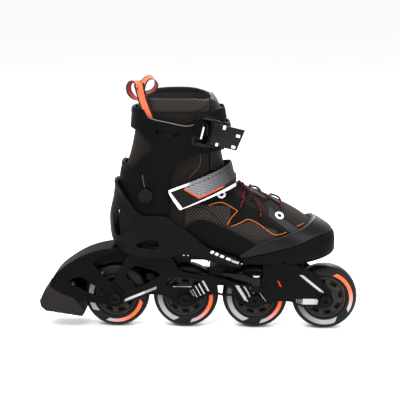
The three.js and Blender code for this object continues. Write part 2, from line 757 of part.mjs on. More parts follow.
// Half width of the boot's form at the rivets, read from the leg's section there.
const pivotHalf = (() => {
  const slice = form(0).boot.intersect(rod(pivotRadius, -80, 80, pivot.x, pivot.z));
  return slice.boundingBox().max[1];
})();
for (const [name, side] of [["cuff_rivet_outer", -1], ["cuff_rivet_inner", 1]]) {
  const at = (depth) => side * (pivotHalf + depth);
  const span = (p, q, radius, segments) => {
    const [y0, y1] = [at(p), at(q)].sort((a, b) => a - b);
    return rod(radius, y0, y1, pivot.x, pivot.z, segments);
  };
  const rivet = span(0.2, cuffOuter + 1.6, pivotRadius, 16).add(span(cuffOuter + 1.4, cuffOuter + 3, pivotHeadRadius, 20));
  add(name, rivet, materials.darkSteel);
}

// ---- Instep strap ----

const strapSlope = 21;
const strapMiddle = [bx(-25), bz(158.5)];
function slab(width, slope, [x, z]) {
  const made = new THREE.BoxGeometry(400, 300, width).rotateY(THREE.MathUtils.degToRad(-slope));
  return solid(made.translate(x, 0, z));
}

// The strap lies over the boot, and its anchored end steps out over the heel shell on the inner side.
function instepStrap() {
  const over = layer(strapInner, strapOuter).intersect(slab(strapWidth, strapSlope, strapMiddle));
  const outer = bootPlate([[-30.4, 180], [-30.4, 158], [-17, 140], [80, 140], [80, 240], [-30.4, 240]], -80, 0);
  const inner = bootPlate([[-30.4, 139], [80, 139], [80, 240], [-30.4, 240]], -0.01, 80);
  const anchor = bootPlate([[-30.4, 108], [-8, 108], [2, 132], [2, 152], [-30.4, 142]], 10, 80);
  const step = layer(strapInner, anchorOuter).intersect(bootPlate([[-30.4, 139], [0, 139], [0, 152], [-30.4, 142]], 10, 80));
  const tail = layer(shellOuter + clearance, anchorOuter).intersect(anchor);
  return over.intersect(outer.add(inner)).add(tail).add(step).subtract(strapRivetHole());
}
add("instep_strap", instepStrap(), materials.strap);

// A rivet on the inner side, through two layers of the form.
function innerRivet(name, { x, z }, part, foot, face) {
  const reach = (offset) => form(offset)[part].intersect(rod(3, 0, 90, x, z)).boundingBox().max[1];
  const shaft = rod(3, reach(foot) - 1, reach(face) + 1, x, z);
  add(name, shaft.add(rod(6, reach(face) + 0.8, reach(face) + 2.6, x, z, 18)), materials.darkSteel);
}
innerRivet("strap_rivet", strapRivet, "boot", shellInner, anchorOuter);

// ---- Ladder strap and buckle ----

const ladderSlope = -12;
const ladderMiddle = [bx(20), bz(233)];
function ladderStrap() {
  const band = layer(ladderInner, ladderOuter, "leg").intersect(slab(ladderWidth, ladderSlope, ladderMiddle));
  const outer = block(bx(-4), 400, -80, 0, 0, 400);
  return band.intersect(outer.add(block(bx(-16), 400, -0.01, 80, 0, 400))).subtract(ladderRivetHole());
}
add("ladder_strap", ladderStrap(), materials.blackPlastic);
innerRivet("ladder_rivet", ladderRivet, "leg", cuffInner, ladderOuter);

const buckle = new THREE.Group();
const buckleYaw = 20;
const bucklePlace = new THREE.Vector3(bx(4), -(39 + (bootWidth - 1) * 33), bz(235.5));
const buckleTurn = new THREE.Euler(0, 0, 0, "ZYX");
buckleTurn.z = THREE.MathUtils.degToRad(buckleYaw);
buckleTurn.y = THREE.MathUtils.degToRad(-ladderSlope);
const buckleMatrix = new THREE.Matrix4().makeRotationFromEuler(buckleTurn).setPosition(bucklePlace);

// Buckle pieces are drawn with X along the strap, -Y away from the leg and Z across the strap.
const inBuckle = (shape) => solid(geometryOf(shape).applyMatrix4(buckleMatrix));
const bucklePin = { x: 9, y: -7.4 };
const cheekInner = ladderWidth / 2 + 0.8;
const cheekThickness = 1.8;
const wallInner = cheekInner + cheekThickness + clearance;
const wallThickness = 2;
function crossRod(radius, z0, z1, segments = 14) {
  const made = new THREE.CylinderGeometry(radius, radius, z1 - z0, segments);
  return solid(made.rotateX(Math.PI / 2).translate(bucklePin.x, bucklePin.y, (z0 + z1) / 2));
}
function buckleBase() {
  const wall = block(-4, 17, -10, 12, wallInner, wallInner + wallThickness);
  const low = block(-4, 17, -10, 12, -wallInner - wallThickness, -wallInner);
  const floor = block(-6, 17, -20, 20, -wallInner - 1, wallInner + 1);
  const sheet = inBuckle(floor).intersect(layer(cuffOuter + clearance, cuffOuter + 1.3, "leg"));
  const walls = inBuckle(wall.add(low).subtract(crossRod(2.3, -40, 40))).subtract(form(cuffOuter + clearance).leg);
  return sheet.add(walls);
}
function buckleLever() {
  let plate = block(8, 46.5, -13.4, -10.8, -cheekInner - cheekThickness, cheekInner + cheekThickness);
  for (const side of [-1, 1]) {
    const ends = [side * cheekInner, side * (cheekInner + cheekThickness)].sort((a, b) => a - b);
    plate = plate.add(block(6, 14, -11.4, -4.4, ends[0], ends[1]));
  }
  return inBuckle(plate.subtract(crossRod(2.3, -40, 40)));
}
function bucklePinRod() {
  const reach = wallInner + wallThickness + 0.8;
  return inBuckle(crossRod(2, -reach, reach));
}
add("buckle_base", buckleBase(), materials.glossPlastic);
add("buckle_lever", buckleLever(), materials.glossPlastic);
add("buckle_pin", bucklePinRod(), materials.steel);

// ---- Pull loop ----

const loopWall = 1.8;
const loopSpan = [-26, -14];
function loopRing(x, z, rx, rz) {
  const line = (inset) =>
    Array.from({ length: 16 }, (_, i) => {
      const t = (Math.PI * i) / 8;
      return [bx(x) + (rx - inset) * Math.cos(t), bz(z) + (rz - inset) * Math.sin(t)];
    });
  return sidePlate(line(0), ...loopSpan, [line(loopWall)]);
}
function pullLoop() {
  const stem = bootPlate([[-52, 258], [-54, 268], [-56, 275], [-59, 280], [-65, 278], [-67, 268], [-63, 258]], -80, -5);
  const tab = layer(clearance, clearance + 2.4, "leg").intersect(stem);
  return tab.add(loopRing(-71, 277, 8.5, 9.5)).add(loopRing(-54, 282, 9.5, 9.5));
}
add("pull_loop", pullLoop(), materials.webbing);

export default skate;
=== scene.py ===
import json
import math
import bpy
from mathutils import Matrix, Vector
from mathutils.bvhtree import BVHTree

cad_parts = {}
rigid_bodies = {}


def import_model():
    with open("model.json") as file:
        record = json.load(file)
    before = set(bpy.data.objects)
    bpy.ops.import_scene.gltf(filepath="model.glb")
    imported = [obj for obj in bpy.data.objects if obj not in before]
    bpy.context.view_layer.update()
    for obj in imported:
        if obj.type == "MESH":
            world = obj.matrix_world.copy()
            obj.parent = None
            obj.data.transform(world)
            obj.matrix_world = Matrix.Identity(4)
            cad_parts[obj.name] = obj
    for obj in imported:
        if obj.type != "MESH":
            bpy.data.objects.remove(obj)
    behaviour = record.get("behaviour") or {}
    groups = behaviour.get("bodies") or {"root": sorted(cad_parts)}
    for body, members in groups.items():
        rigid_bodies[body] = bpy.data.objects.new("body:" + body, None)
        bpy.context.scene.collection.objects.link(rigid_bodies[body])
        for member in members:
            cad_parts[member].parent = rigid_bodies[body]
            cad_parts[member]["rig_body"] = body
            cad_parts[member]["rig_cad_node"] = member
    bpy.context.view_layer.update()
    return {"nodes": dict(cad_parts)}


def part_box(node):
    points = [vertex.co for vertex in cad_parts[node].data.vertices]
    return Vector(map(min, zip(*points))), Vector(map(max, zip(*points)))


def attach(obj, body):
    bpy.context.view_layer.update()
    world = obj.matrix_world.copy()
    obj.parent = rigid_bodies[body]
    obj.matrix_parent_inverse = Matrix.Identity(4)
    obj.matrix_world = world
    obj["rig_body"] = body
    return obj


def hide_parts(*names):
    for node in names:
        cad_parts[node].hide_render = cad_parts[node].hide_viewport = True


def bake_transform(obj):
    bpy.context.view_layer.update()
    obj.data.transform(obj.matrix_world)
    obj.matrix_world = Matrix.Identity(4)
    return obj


# The skate stands on its wheels, toe to the right, seen level from its outer side.
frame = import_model()
mm = 0.001

# ---- Camera, floor and light ----
# A long lens far off looks level at the outer side, over a white sweep, with soft boxes around it.
view_turn = math.radians(2.3)
view_rise = math.radians(11.9)
view_distance = 1.2
view_target = Vector((0.0013, 0, 0.1487))
lens = 94.5

back_off = Vector((
    math.sin(view_turn) * math.cos(view_rise),
    -math.cos(view_turn) * math.cos(view_rise),
    math.sin(view_rise),
))
bpy.ops.object.camera_add()
camera = bpy.context.object
camera.data.lens = lens
camera.data.clip_start = 0.05


def aimed(obj, place, target):
    """Places an object and turns its -Z towards a target."""
    obj.location = place
    obj.rotation_euler = (target - place).to_track_quat("-Z", "Y").to_euler()

aimed(camera, view_target + view_distance * back_off, view_target)
bpy.context.scene.camera = camera


def softbox(name, place, size, power, target=view_target):
    """A square studio light that faces the skate."""
    bpy.ops.object.light_add(type="AREA")
    lamp = bpy.context.object
    lamp.name = name
    lamp.data.shape = "SQUARE"
    lamp.data.size = size
    lamp.data.energy = power
    aimed(lamp, Vector(place), target)
    return lamp


def power(value, exponent):
    return math.copysign(abs(value) ** exponent, value)

softbox("key_light", (-0.5, -1.1, 1.5), 0.9, 26)
softbox("fill_light", (1.2, -0.9, 0.8), 0.8, 12)
softbox("top_light", (0.0, 0.25, 1.6), 1.0, 26)
softbox("rim_light", (0.3, 1.3, 0.9), 0.7, 12)
world = bpy.data.worlds.new("studio")
world.use_nodes = True
world.node_tree.nodes["Background"].inputs["Color"].default_value = (1, 1, 1, 1)
world.node_tree.nodes["Background"].inputs["Strength"].default_value = 1.0
bpy.context.scene.world = world
bpy.context.scene.view_settings.view_transform = "Standard"

# ---- Wheels ----
# Four 76 mm wheels: a cast polyurethane tyre with a printed band on its side, bonded to a moulded core with
# eight curved openings. Two ball bearings and a spacer sit in each hub on the axle bolt.
axles = [-95, -15, 65, 145]
axle_height = 37.8
tyre_side = [
    (24.3, 10.6), (25, 11.5), (26.2, 11.9), (30, 12), (32.6, 11.9), (34.4, 11.2), (35.8, 9.9), (36.8, 8),
    (37.4, 5.6), (37.7, 3), (37.8, 0),
]
tyre_profile = tyre_side + [(r, -y) for r, y in reversed(tyre_side[:-1])]
print_turns = [-80, -48, -48, 0]


def pick(obj):
    """Makes obj the only selected object and the active one."""
    bpy.ops.object.select_all(action="DESELECT")
    obj.select_set(True)
    bpy.context.view_layer.objects.active = obj
    return obj


def tidy_normals(obj):
    pick(obj)
    bpy.ops.object.mode_set(mode="EDIT")
    bpy.ops.mesh.select_all(action="SELECT")
    bpy.ops.mesh.remove_doubles(threshold=1e-6)
    bpy.ops.mesh.normals_make_consistent(inside=False)
    bpy.ops.object.mode_set(mode="OBJECT")
    return obj


def turned(name, profile, sides=96):
    """A solid of revolution round the Y axis: a closed line of (radius, y) in millimetres, spun once."""
    bpy.ops.mesh.primitive_circle_add(vertices=len(profile), radius=mm)
    obj = bpy.context.object
    obj.name = name
    for vertex, (radius, y) in zip(obj.data.vertices, profile):
        vertex.co = (radius * mm, y * mm, 0)
    pick(obj)
    bpy.ops.object.mode_set(mode="EDIT")
    bpy.ops.mesh.select_all(action="SELECT")
    bpy.ops.mesh.spin(steps=sides, angle=2 * math.pi, center=(0, 0, 0), axis=(0, 1, 0))
    bpy.ops.object.mode_set(mode="OBJECT")
    return tidy_normals(obj)

tyre_shape = turned("tyre_shape", tyre_profile, 128)


class Wire:
    """A number in a material. Sums and products on it become Math nodes."""

    def __init__(self, paint, socket):
        self.paint = paint
        self.socket = socket

    def math(self, operation, *values, clamp=False):
        return self.paint.node("ShaderNodeMath", {"operation": operation, "use_clamp": clamp}, values)

    def __add__(self, other):
        return self.math("ADD", self, other)

    def __sub__(self, other):
        return self.math("SUBTRACT", self, other)

    def __rsub__(self, other):
        return self.math("SUBTRACT", other, self)

    def __mul__(self, other):
        return self.math("MULTIPLY", self, other)

    __radd__ = __add__
    __rmul__ = __mul__

    def over(self, low, soft=0.3):
        """0 up to low, rising to 1 over a soft edge."""
        return self.math("MULTIPLY", self - low, 1 / soft, clamp=True)

    def within(self, low, high, soft=0.3):
        return self.over(low, soft) * (1 - self.over(high, soft))

    def wave(self, pitch):
        """A sine from 0 to 1 that repeats every pitch millimetres."""
        return self.math("SINE", self * (2 * math.pi / pitch)) * 0.5 + 0.5

    def size(self):
        return self.math("ABSOLUTE", self)

    def most(self, other):
        return self.math("MAXIMUM", self, other)


def tone(red, green, blue):
    return (red, green, blue, 1)


class Paint:
    """A material's nodes, round one surface shader."""

    def __init__(self, name):
        self.material = bpy.data.materials.new(name)
        self.material.use_nodes = True
        self.tree = self.material.node_tree
        self.shader = self.tree.nodes["Principled BSDF"]

    def node(self, kind, settings=(), sockets=(), output=0):
        made = self.tree.nodes.new(kind)
        for key, value in dict(settings).items():
            setattr(made, key, value)
        pairs = sockets.items() if isinstance(sockets, dict) else enumerate(sockets)
        for key, value in pairs:
            self.feed(made.inputs[key], value)
        return Wire(self, made.outputs[output])

    def feed(self, socket, value):
        if isinstance(value, Wire):
            self.tree.links.new(value.socket, socket)
        else:
            socket.default_value = value

    def place(self, centre=(0, 0, 0), stretch=(1, 1, 1)):
        """Millimetres from a point, as one vector."""
        where = self.node("ShaderNodeTexCoord", output="Object")
        scaled = self.node("ShaderNodeVectorMath", {"operation": "SCALE"}, {0: where, "Scale": 1000.0})
        moved = self.node("ShaderNodeVectorMath", {"operation": "SUBTRACT"}, [scaled, centre])
        return self.node("ShaderNodeVectorMath", {"operation": "MULTIPLY"}, [moved, stretch])

    def parts(self, vector):
        split = self.node("ShaderNodeSeparateXYZ", (), [vector])
        outputs = split.socket.node.outputs
        return [Wire(self, outputs[i]) for i in range(3)]

    def noise(self, vector, scale, detail=2.0, rough=0.5):
        sockets = {"Vector": vector, "Scale": scale, "Detail": detail, "Roughness": rough}
        return self.node("ShaderNodeTexNoise", (), sockets)

    def mix(self, share, low, high):
        return self.node("ShaderNodeMix", {"data_type": "RGBA"}, {0: share, 6: low, 7: high}, 2)

    def convex_highlight(self):
        """1 on convex edges, which get a painted highlight."""
        return self.node("ShaderNodeNewGeometry", output="Pointiness").over(0.53, 0.09)

    def finish(self, colour, roughness, height=None, depth=0.1, **others):
        """Feeds the shader; depth is the relief in millimetres."""
        self.feed(self.shader.inputs["Base Color"], colour)
        self.feed(self.shader.inputs["Roughness"], roughness)
        for key, value in others.items():
            self.feed(self.shader.inputs[key.replace("_", " ").title().replace("Ior", "IOR")], value)
        if height is not None:
            sockets = {"Strength": 1.0, "Distance": depth * mm, "Height": height}
            self.feed(self.shader.inputs["Normal"], self.node("ShaderNodeBump", (), sockets))
        return self.material


def wear(obj, material):
    """Gives an object one material."""
    obj.data.materials.clear()
    obj.data.materials.append(material)
    return obj


def twin(obj, name):
    """A copy with its own mesh."""
    other = obj.copy()
    other.data = obj.data.copy()
    other.name = name
    other.hide_render = False
    bpy.context.scene.collection.objects.link(other)
    return other


def smooth_shade(obj, angle=40):
    pick(obj)
    bpy.ops.object.shade_smooth_by_angle(angle=math.radians(angle))
    return obj


def moved(obj, x=0.0, y=0.0, z=0.0, turn=0.0):
    """Turns a mesh round the Y axis, in degrees, and shifts it in millimetres."""
    spin = Matrix.Rotation(math.radians(turn), 4, "Y")
    obj.data.transform(Matrix.Translation((x * mm, y * mm, z * mm)) @ spin)
    return obj


def fit(obj, body, nodes, material):
    """Gives a finished piece its material and its CAD body, and hides the CAD nodes that it stands for."""
    wear(obj, material)
    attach(obj, body)
    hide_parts(*nodes)
    return obj


def tyre_paint(name, x, turn):
    """Glossy black urethane with a silver arc and an orange arc that fades to grey."""
    paint = Paint(name)
    place = paint.place((x, 0, axle_height))
    along, across, up = paint.parts(place)
    spin = math.radians(turn)
    ahead = along * math.cos(spin) + up * math.sin(spin)
    above = up * math.cos(spin) - along * math.sin(spin)
    angle = paint.node("ShaderNodeMath", {"operation": "ARCTAN2"}, [above, ahead]) * (180 / math.pi)
    square = along * along + up * up
    flat_radius = square.math("SQRT", square)
    side = across.size().over(10.8, 0.3)
    ring = flat_radius.within(26.6, 32.0, 0.25) * side
    slant = flat_radius - 29
    orange_arc = (angle + slant * 1.6).within(-28, 68, 0.8)
    orange_arc = orange_arc * (flat_radius + (angle - 68) * 0.012).within(27.2, 31.2)
    fade = (angle * -1).over(-22, 46)
    silver_arc = (angle + slant * 2.0).within(-158, -62, 0.8)
    hatch = (angle + slant * 5).wave(3.2).over(0.55, 0.2)
    speck = paint.noise(place, 0.7, 3)
    rub = paint.noise(place, 0.08, 4)
    black = paint.mix(rub, tone(0.0025, 0.0025, 0.003), tone(0.006, 0.006, 0.007))
    orange = paint.mix(fade, tone(0.86, 0.12, 0.03), tone(0.34, 0.33, 0.37))
    silver = paint.mix(hatch * 0.35 + speck * 0.3, tone(0.36, 0.37, 0.39), tone(0.14, 0.145, 0.155))
    silver = paint.mix((angle * -1).over(92, 60), silver, tone(0.1, 0.102, 0.108))
    inked = paint.mix(ring * silver_arc, paint.mix(ring * orange_arc, black, orange), silver)
    return paint.finish(
        inked, rub * 0.16 + 0.32, speck, 0.02, specular_ior_level=0.13)

for number, (x, turn) in enumerate(zip(axles, print_turns), 1):
    tyre = moved(twin(tyre_shape, f"tyre_{number}_cast"), x, 0, axle_height)
    smooth_shade(tyre, 50)
    fit(tyre, f"wheel_{number}", [f"tyre_{number}"], tyre_paint(f"tyre_ink_{number}", x, turn))


def discard(obj):
    bpy.data.objects.remove(obj, do_unlink=True)

discard(tyre_shape)


def moulded_paint(name, low, high, roughness, grain=0.35, relief=0.05, edge_highlight=0.35, **others):
    """Moulded plastic: fine spark grain, faint cloudiness, pale scuffs and a painted highlight on convex
    edges.
    """
    paint = Paint(name)
    place = paint.place()
    fine = paint.noise(place, 2.4, 3, 0.6)
    cloud = paint.noise(place, 0.045, 3)
    scuff = paint.noise(paint.place(stretch=(0.09, 0.5, 1.2)), 0.6, 4, 0.65).over(0.62, 0.2)
    # Convex edges lighten towards a pale tone as a painted highlight; scuffs, which are wear, take the same
    # tone.
    edge = paint.convex_highlight() * edge_highlight
    body = paint.mix(cloud, low, high)
    pale = tuple(min(1, 3.0 * value + 0.02) for value in high[:3]) + (1,)
    colour = paint.mix((edge + scuff * 0.08).math("MINIMUM", edge + scuff * 0.08, 1.0), body, pale)
    rough = fine * grain * 0.4 + cloud * 0.08 + (roughness - 0.12) - edge * 0.12
    return paint.finish(colour, rough, fine, relief, **others)

core_black = moulded_paint(
    "core_taupe", tone(0.014, 0.0115, 0.0105), tone(0.024, 0.02, 0.018), 0.42, specular_ior_level=0.14)
core_side = [
    (8.9, 4.7), (11.3, 4.7), (11.3, 11.6), (13.2, 11.7), (14.4, 10.6), (15, 9.4), (18, 8.7), (21, 9),
    (21.8, 10), (22.4, 10.5), (24, 10.5),
]
core_shape = turned("core_shape", core_side + [(r, -y) for r, y in reversed(core_side)], 96)
slot_arc = []
for k in range(9):
    slot_arc.append((15.9, math.radians(-13 + 26 * k / 8)))
for k in range(9):
    slot_arc.append((19.9 + 0.5 * math.sin(math.pi * k / 8), math.radians(15 - 26 * k / 8)))
slot_outline = [(r * math.cos(a), r * math.sin(a)) for r, a in slot_arc]


def modify(obj, kind, **settings):
    """Adds a modifier and applies it."""
    step = obj.modifiers.new(kind.title(), kind)
    for key, value in settings.items():
        setattr(step, key, value)
    pick(obj)
    bpy.ops.object.modifier_apply(modifier=step.name)
    return obj


def from_mesh(name, points, faces):
    """A new object from points in metres and faces."""
    mesh = bpy.data.meshes.new(name)
    mesh.from_pydata([tuple(p) for p in points], [], faces)
    mesh.update()
    obj = bpy.data.objects.new(name, mesh)
    bpy.context.scene.collection.objects.link(obj)
    return obj


def combine(obj, tool, operation, keep_tool=False):
    """Cuts obj by tool, joins them, or keeps what they share."""
    modify(obj, "BOOLEAN", object=tool, operation=operation, solver="MANIFOLD")
    if not keep_tool:
        discard(tool)
    return obj


def plate(name, outline, low=-80, high=80):
    """A side outline of (x, z) in millimetres, carried across the skate from low to high."""
    count = len(outline)
    near = [(x * mm, low * mm, z * mm) for x, z in outline]
    far = [(x * mm, high * mm, z * mm) for x, z in outline]
    walls = [(i, (i + 1) % count, count + (i + 1) % count, count + i) for i in range(count)]
    area = sum(a[0] * b[1] - b[0] * a[1] for a, b in zip(outline, outline[1:] + outline[:1]))
    faces = [tuple(range(count)), tuple(reversed(range(count, 2 * count)))]
    faces += [tuple(reversed(wall)) for wall in walls]
    if area < 0:
        faces = [tuple(reversed(face)) for face in faces]
    return from_mesh(name, near + far, faces)

for k in range(8):
    combine(core_shape, moved(plate("slot", slot_outline, -14, 14), turn=45 * k + 12), "DIFFERENCE")
web_disc = turned("web_disc", [(14, 1.2), (22, 1.2), (22, -1.2), (14, -1.2)], 96)
combine(core_shape, web_disc, "UNION")
modify(core_shape, "BEVEL", width=0.35 * mm, segments=2, limit_method="ANGLE", angle_limit=math.radians(40))
for number, x in enumerate(axles, 1):
    core = moved(twin(core_shape, f"wheel_core_{number}_cast"), x, 0, axle_height, 17 * number)
    smooth_shade(core, 35)
    fit(core, f"wheel_{number}", [f"wheel_core_{number}"], core_black)
discard(core_shape)


def metal_paint(name, low, high, roughness):
    """Turned metal with fine lines round the tool's path."""
    paint = Paint(name)
    place = paint.place()
    lines = paint.noise(paint.place(stretch=(0.25, 6, 0.25)), 1.2, 3)
    stain = paint.noise(place, 0.12, 3)
    rough = lines * 0.16 + stain * 0.1 + (roughness - 0.12)
    return paint.finish(paint.mix(stain, low, high), rough, lines, 0.02, metallic=1.0)

steel = metal_paint("bright_steel", tone(0.5, 0.51, 0.53), tone(0.68, 0.69, 0.71), 0.28)
dark_steel = metal_paint("blackened_steel", tone(0.004, 0.004, 0.0045), tone(0.012, 0.012, 0.013), 0.45)
bearing_grey = metal_paint("bearing_grey", tone(0.03, 0.03, 0.032), tone(0.07, 0.07, 0.074), 0.4)
head_seat = 22.6
bolt_profile = [
    (0, 26.4), (3.6, 26.4), (4, 26), (4, -22.6), (6.2, -22.6), (6.5, -22.9), (6.5, -24.4), (6.1, -25.2),
    (5.4, -25.6), (0, -25.6),
]
bolt_shape = turned("bolt_shape", bolt_profile, 48)
bpy.ops.mesh.primitive_cylinder_add(vertices=6, radius=3.2 * mm, depth=5 * mm, location=(0, -25.6 * mm, 0),
                                    rotation=(math.pi / 2, 0, 0))
socket = bpy.context.object
pick(socket)
bpy.ops.object.transform_apply(location=True, rotation=True, scale=True)
combine(bolt_shape, socket, "DIFFERENCE")
bpy.ops.mesh.primitive_cylinder_add(vertices=6, radius=6.5 * mm, depth=4 * mm,
                                    location=(0, (head_seat + 2) * mm, 0), rotation=(math.pi / 2, 0, 0))
nut_shape = bpy.context.object
pick(nut_shape)
bpy.ops.object.transform_apply(location=True, rotation=True, scale=True)
combine(nut_shape, turned("bore", [(0, 10), (4.3, 10), (4.3, 40), (0, 40)], 40), "DIFFERENCE")
modify(nut_shape, "BEVEL", width=0.4 * mm, segments=3, limit_method="ANGLE", angle_limit=math.radians(30))
for number, x in enumerate(axles, 1):
    bolt = smooth_shade(moved(twin(bolt_shape, f"axle_bolt_{number}_turned"), x, 0, axle_height), 35)
    nut = smooth_shade(moved(twin(nut_shape, f"axle_nut_{number}_turned"), x, 0, axle_height), 35)
    fit(bolt, "base", [f"axle_bolt_{number}"], dark_steel)
    fit(nut, "base", [f"axle_nut_{number}"], dark_steel)
    for node in (f"bearing_outer_{number}", f"bearing_inner_{number}", f"bearing_spacer_{number}"):
        wear(frame["nodes"][node], bearing_grey)
discard(bolt_shape)
discard(nut_shape)

# ---- Frame ----
# One black glass-filled nylon moulding: two side plates with arches over the wheels, windows between them,
# and bosses for the axle bolts. Pale printed marks run along the outer faces.
h = axle_height
rear, second, third, front = axles


def soften(obj, voxel, rounds=6, factor=0.5):
    """Remeshes a solid in small even faces and smooths it, which rounds its edges as a mould does."""
    modify(obj, "REMESH", mode="VOXEL", voxel_size=voxel * mm, adaptivity=0.0)
    if rounds:
        modify(obj, "SMOOTH", factor=factor, iterations=rounds)
    pick(obj)
    bpy.ops.object.shade_smooth()
    return obj


def flowing(points, steps=6, closed=True):
    """A smooth line through points, each a tuple of numbers."""
    count = len(points)
    out = []
    last = count if closed else count - 1
    for i in range(last):
        a, b, c, d = (
            points[j % count] if closed else points[min(max(j, 0), count - 1)]
            for j in (i - 1, i, i + 1, i + 2)
        )
        for s in range(steps):
            t = s / steps
            out.append(tuple(
                q + 0.5 * t * (r - p + t * (2 * p - 5 * q + 4 * r - w + t * (3 * (q - r) + w - p)))
                for p, q, r, w in zip(a, b, c, d)
            ))
    return out if closed else out + [tuple(points[-1])]

# The last is the form that the whole boot is built over: a right foot's shape in level rings up the leg
# and upright rings along the foot, in millimetres. Each shell, pad and strap is a layer at its own height
# over it.
leg_rings = [  # height, back, front, half width
    (98.4, -80, -10, 24), (101, -87, -4, 29), (111, -91, 6, 32), (134, -92, 14, 34),
    (155, -87.5, 25, 34.5), (172, -85.5, 32, 34.5), (188, -83, 29, 34), (208, -77, 25, 33.5),
    (232, -72, 26.5, 34), (250, -70, 25.5, 35), (266, -67, 19, 35), (290, -64, 8, 34),
]
foot_rings = [  # along, top, bottom, half width, sideways shift of the ridge
    (-72, 130, 99, 22, 0), (-50, 150, 98.4, 31, 0), (-20, 168, 98, 34, 1), (5, 172, 94, 36, 2),
    (25, 172, 89, 38.5, 4), (45, 168, 85.5, 41, 6), (66, 160, 84, 42.5, 8), (88, 150, 84, 42.5, 8),
    (108, 140, 84.6, 40, 7), (124, 130, 87.5, 34.5, 5), (137, 122, 91.5, 27, 3), (146, 115, 95.5, 17, 1),
    (150, 108, 99, 7, 0),
]
ring_points = 72


def ramp(value, low, high):
    """0 before low, 1 after high, with soft ends."""
    t = min(1, max(0, (value - low) / (high - low)))
    return t * t * (3 - 2 * t)


def leg_point(row, offset, turn):
    height, back, front, half = row
    x = (back + front) / 2 + ((front - back) / 2 + offset) * power(math.cos(turn), 0.84)
    sole = offset * ramp(-height, -101.5, -98.4)
    return Vector((x, (half + offset) * power(math.sin(turn), 0.84), height - sole)) * mm


def foot_point(row, offset, turn):
    """turn goes from the outer side over the top to the inner side."""
    along, top, bottom, half, ridge = row
    middle = bottom + 0.36 * (top - bottom)
    up = max(0, math.sin(turn))
    reach = (top - middle if up > 0 else middle - bottom) + offset
    roundness = 0.92 if up > 0 else 0.55
    taper = ramp(along, 105, 150) - ramp(-along, 50, 72)
    return Vector((
        along + offset * taper,
        -(half + offset) * power(math.cos(turn), roundness) + ridge * up ** 1.5,
        middle + reach * power(math.sin(turn), roundness),
    )) * mm


def lofted(name, rings):
    """A closed skin over rings of points."""
    count = len(rings[0])
    points = [p for ring in rings for p in ring]
    faces = []
    for r in range(len(rings) - 1):
        for i in range(count):
            j = (i + 1) % count
            faces.append((r * count + i, r * count + j, (r + 1) * count + j, (r + 1) * count + i))
    faces.append(tuple(reversed(range(count))))
    faces.append(tuple(range((len(rings) - 1) * count, len(rings) * count)))
    return tidy_normals(from_mesh(name, points, faces))

turns = [2 * math.pi * i / ring_points for i in range(ring_points)]
lasts = {}


def last(offset, part="boot"):
    """The form swollen by offset millimetres: the leg alone, or leg and foot joined with a soft fold."""
    key = (offset, part)
    if key not in lasts:
        leg = lofted("leg", [
            [leg_point(row, offset, t) for t in turns] for row in flowing(leg_rings, 4, False)])
        foot = lofted("foot", [
            [foot_point(row, offset, -t) for t in turns] for row in flowing(foot_rings, 4, False)])
        made = leg
        if part == "boot":
            combine(made, foot, "UNION")
        else:
            discard(foot)
        soften(made, 2.2, 5)
        made.hide_render = True
        lasts[key] = made
    return twin(lasts[key], "layer")

frame_edge = flowing([
    (rear + 14, 88), (rear + 3, 66), (rear - 6, h + 14), (rear - 10, h + 3), (rear - 6, h - 8),
    (rear + 6, h - 9),
    (rear + 26, h - 1), (rear + 40, h + 3), (second - 24, h + 2), (second - 12, h - 7), (second, h - 11),
    (second + 12, h - 7), (second + 27, h + 3), (third - 30, h + 4), (third - 14, h - 7), (third, h - 12),
    (third + 13, h - 6), (third + 34, h - 3), (front - 18, h - 8), (front, h - 10.5), (front + 9, h - 3),
    (front + 7, h + 8), (front - 5, h + 22), (front - 20, h + 34), (front - 34, 78.7),
], 5, False)
frame_line = frame_edge + [(third + 9, 78.7)] + flowing([
    (third + 8, h + 25), (third, h + 20), (third - 16, h + 18), (third - 37, h + 24), (second + 22, h + 28),
    (second + 6, h + 29), (second - 7, h + 34), (second - 14, 83),
], 4, False) + [(second - 16, 88)]
frame_windows = [
    flowing([(rear + 13, h + 28), (rear + 24, h + 37), (second - 32, h + 30), (second - 31, h + 25),
             (rear + 24, h + 11), (rear + 15, h + 20)], 3),
    flowing([(second - 19, h + 14), (second - 21, h + 23), (second - 5, h + 24), (second + 13, h + 22),
             (second + 16, h + 20), (second + 11, h + 14)], 3),
    flowing([(third - 43, h + 15), (third - 34, h + 15), (third - 22, h + 7), (third - 24, h + 5),
             (third - 42, h + 6)], 3),
]

chassis = None


def bar(name, x0, x1, y0, y1, z0, z1):
    """A block between two corners in millimetres."""
    bpy.ops.mesh.primitive_cube_add(size=1)
    obj = bpy.context.object
    obj.name = name
    obj.scale = ((x1 - x0) * mm, (y1 - y0) * mm, (z1 - z0) * mm)
    obj.location = ((x0 + x1) / 2 * mm, (y0 + y1) / 2 * mm, (z0 + z1) / 2 * mm)
    pick(obj)
    bpy.ops.object.transform_apply(location=True, rotation=True, scale=True)
    return obj


def inset(outline, depth):
    """A closed side outline drawn in by a depth."""
    count = len(outline)
    area = sum(a[0] * b[1] - b[0] * a[1] for a, b in zip(outline, outline[1:] + outline[:1]))
    sign = 1 if area > 0 else -1
    made = []
    for i in range(count):
        (ax, az), (bx, bz) = outline[i - 2], outline[(i + 2) % count]
        length = math.hypot(bx - ax, bz - az) or 1
        made.append((outline[i][0] - sign * depth * (bz - az) / length,
                     outline[i][1] + sign * depth * (bx - ax) / length))
    return made

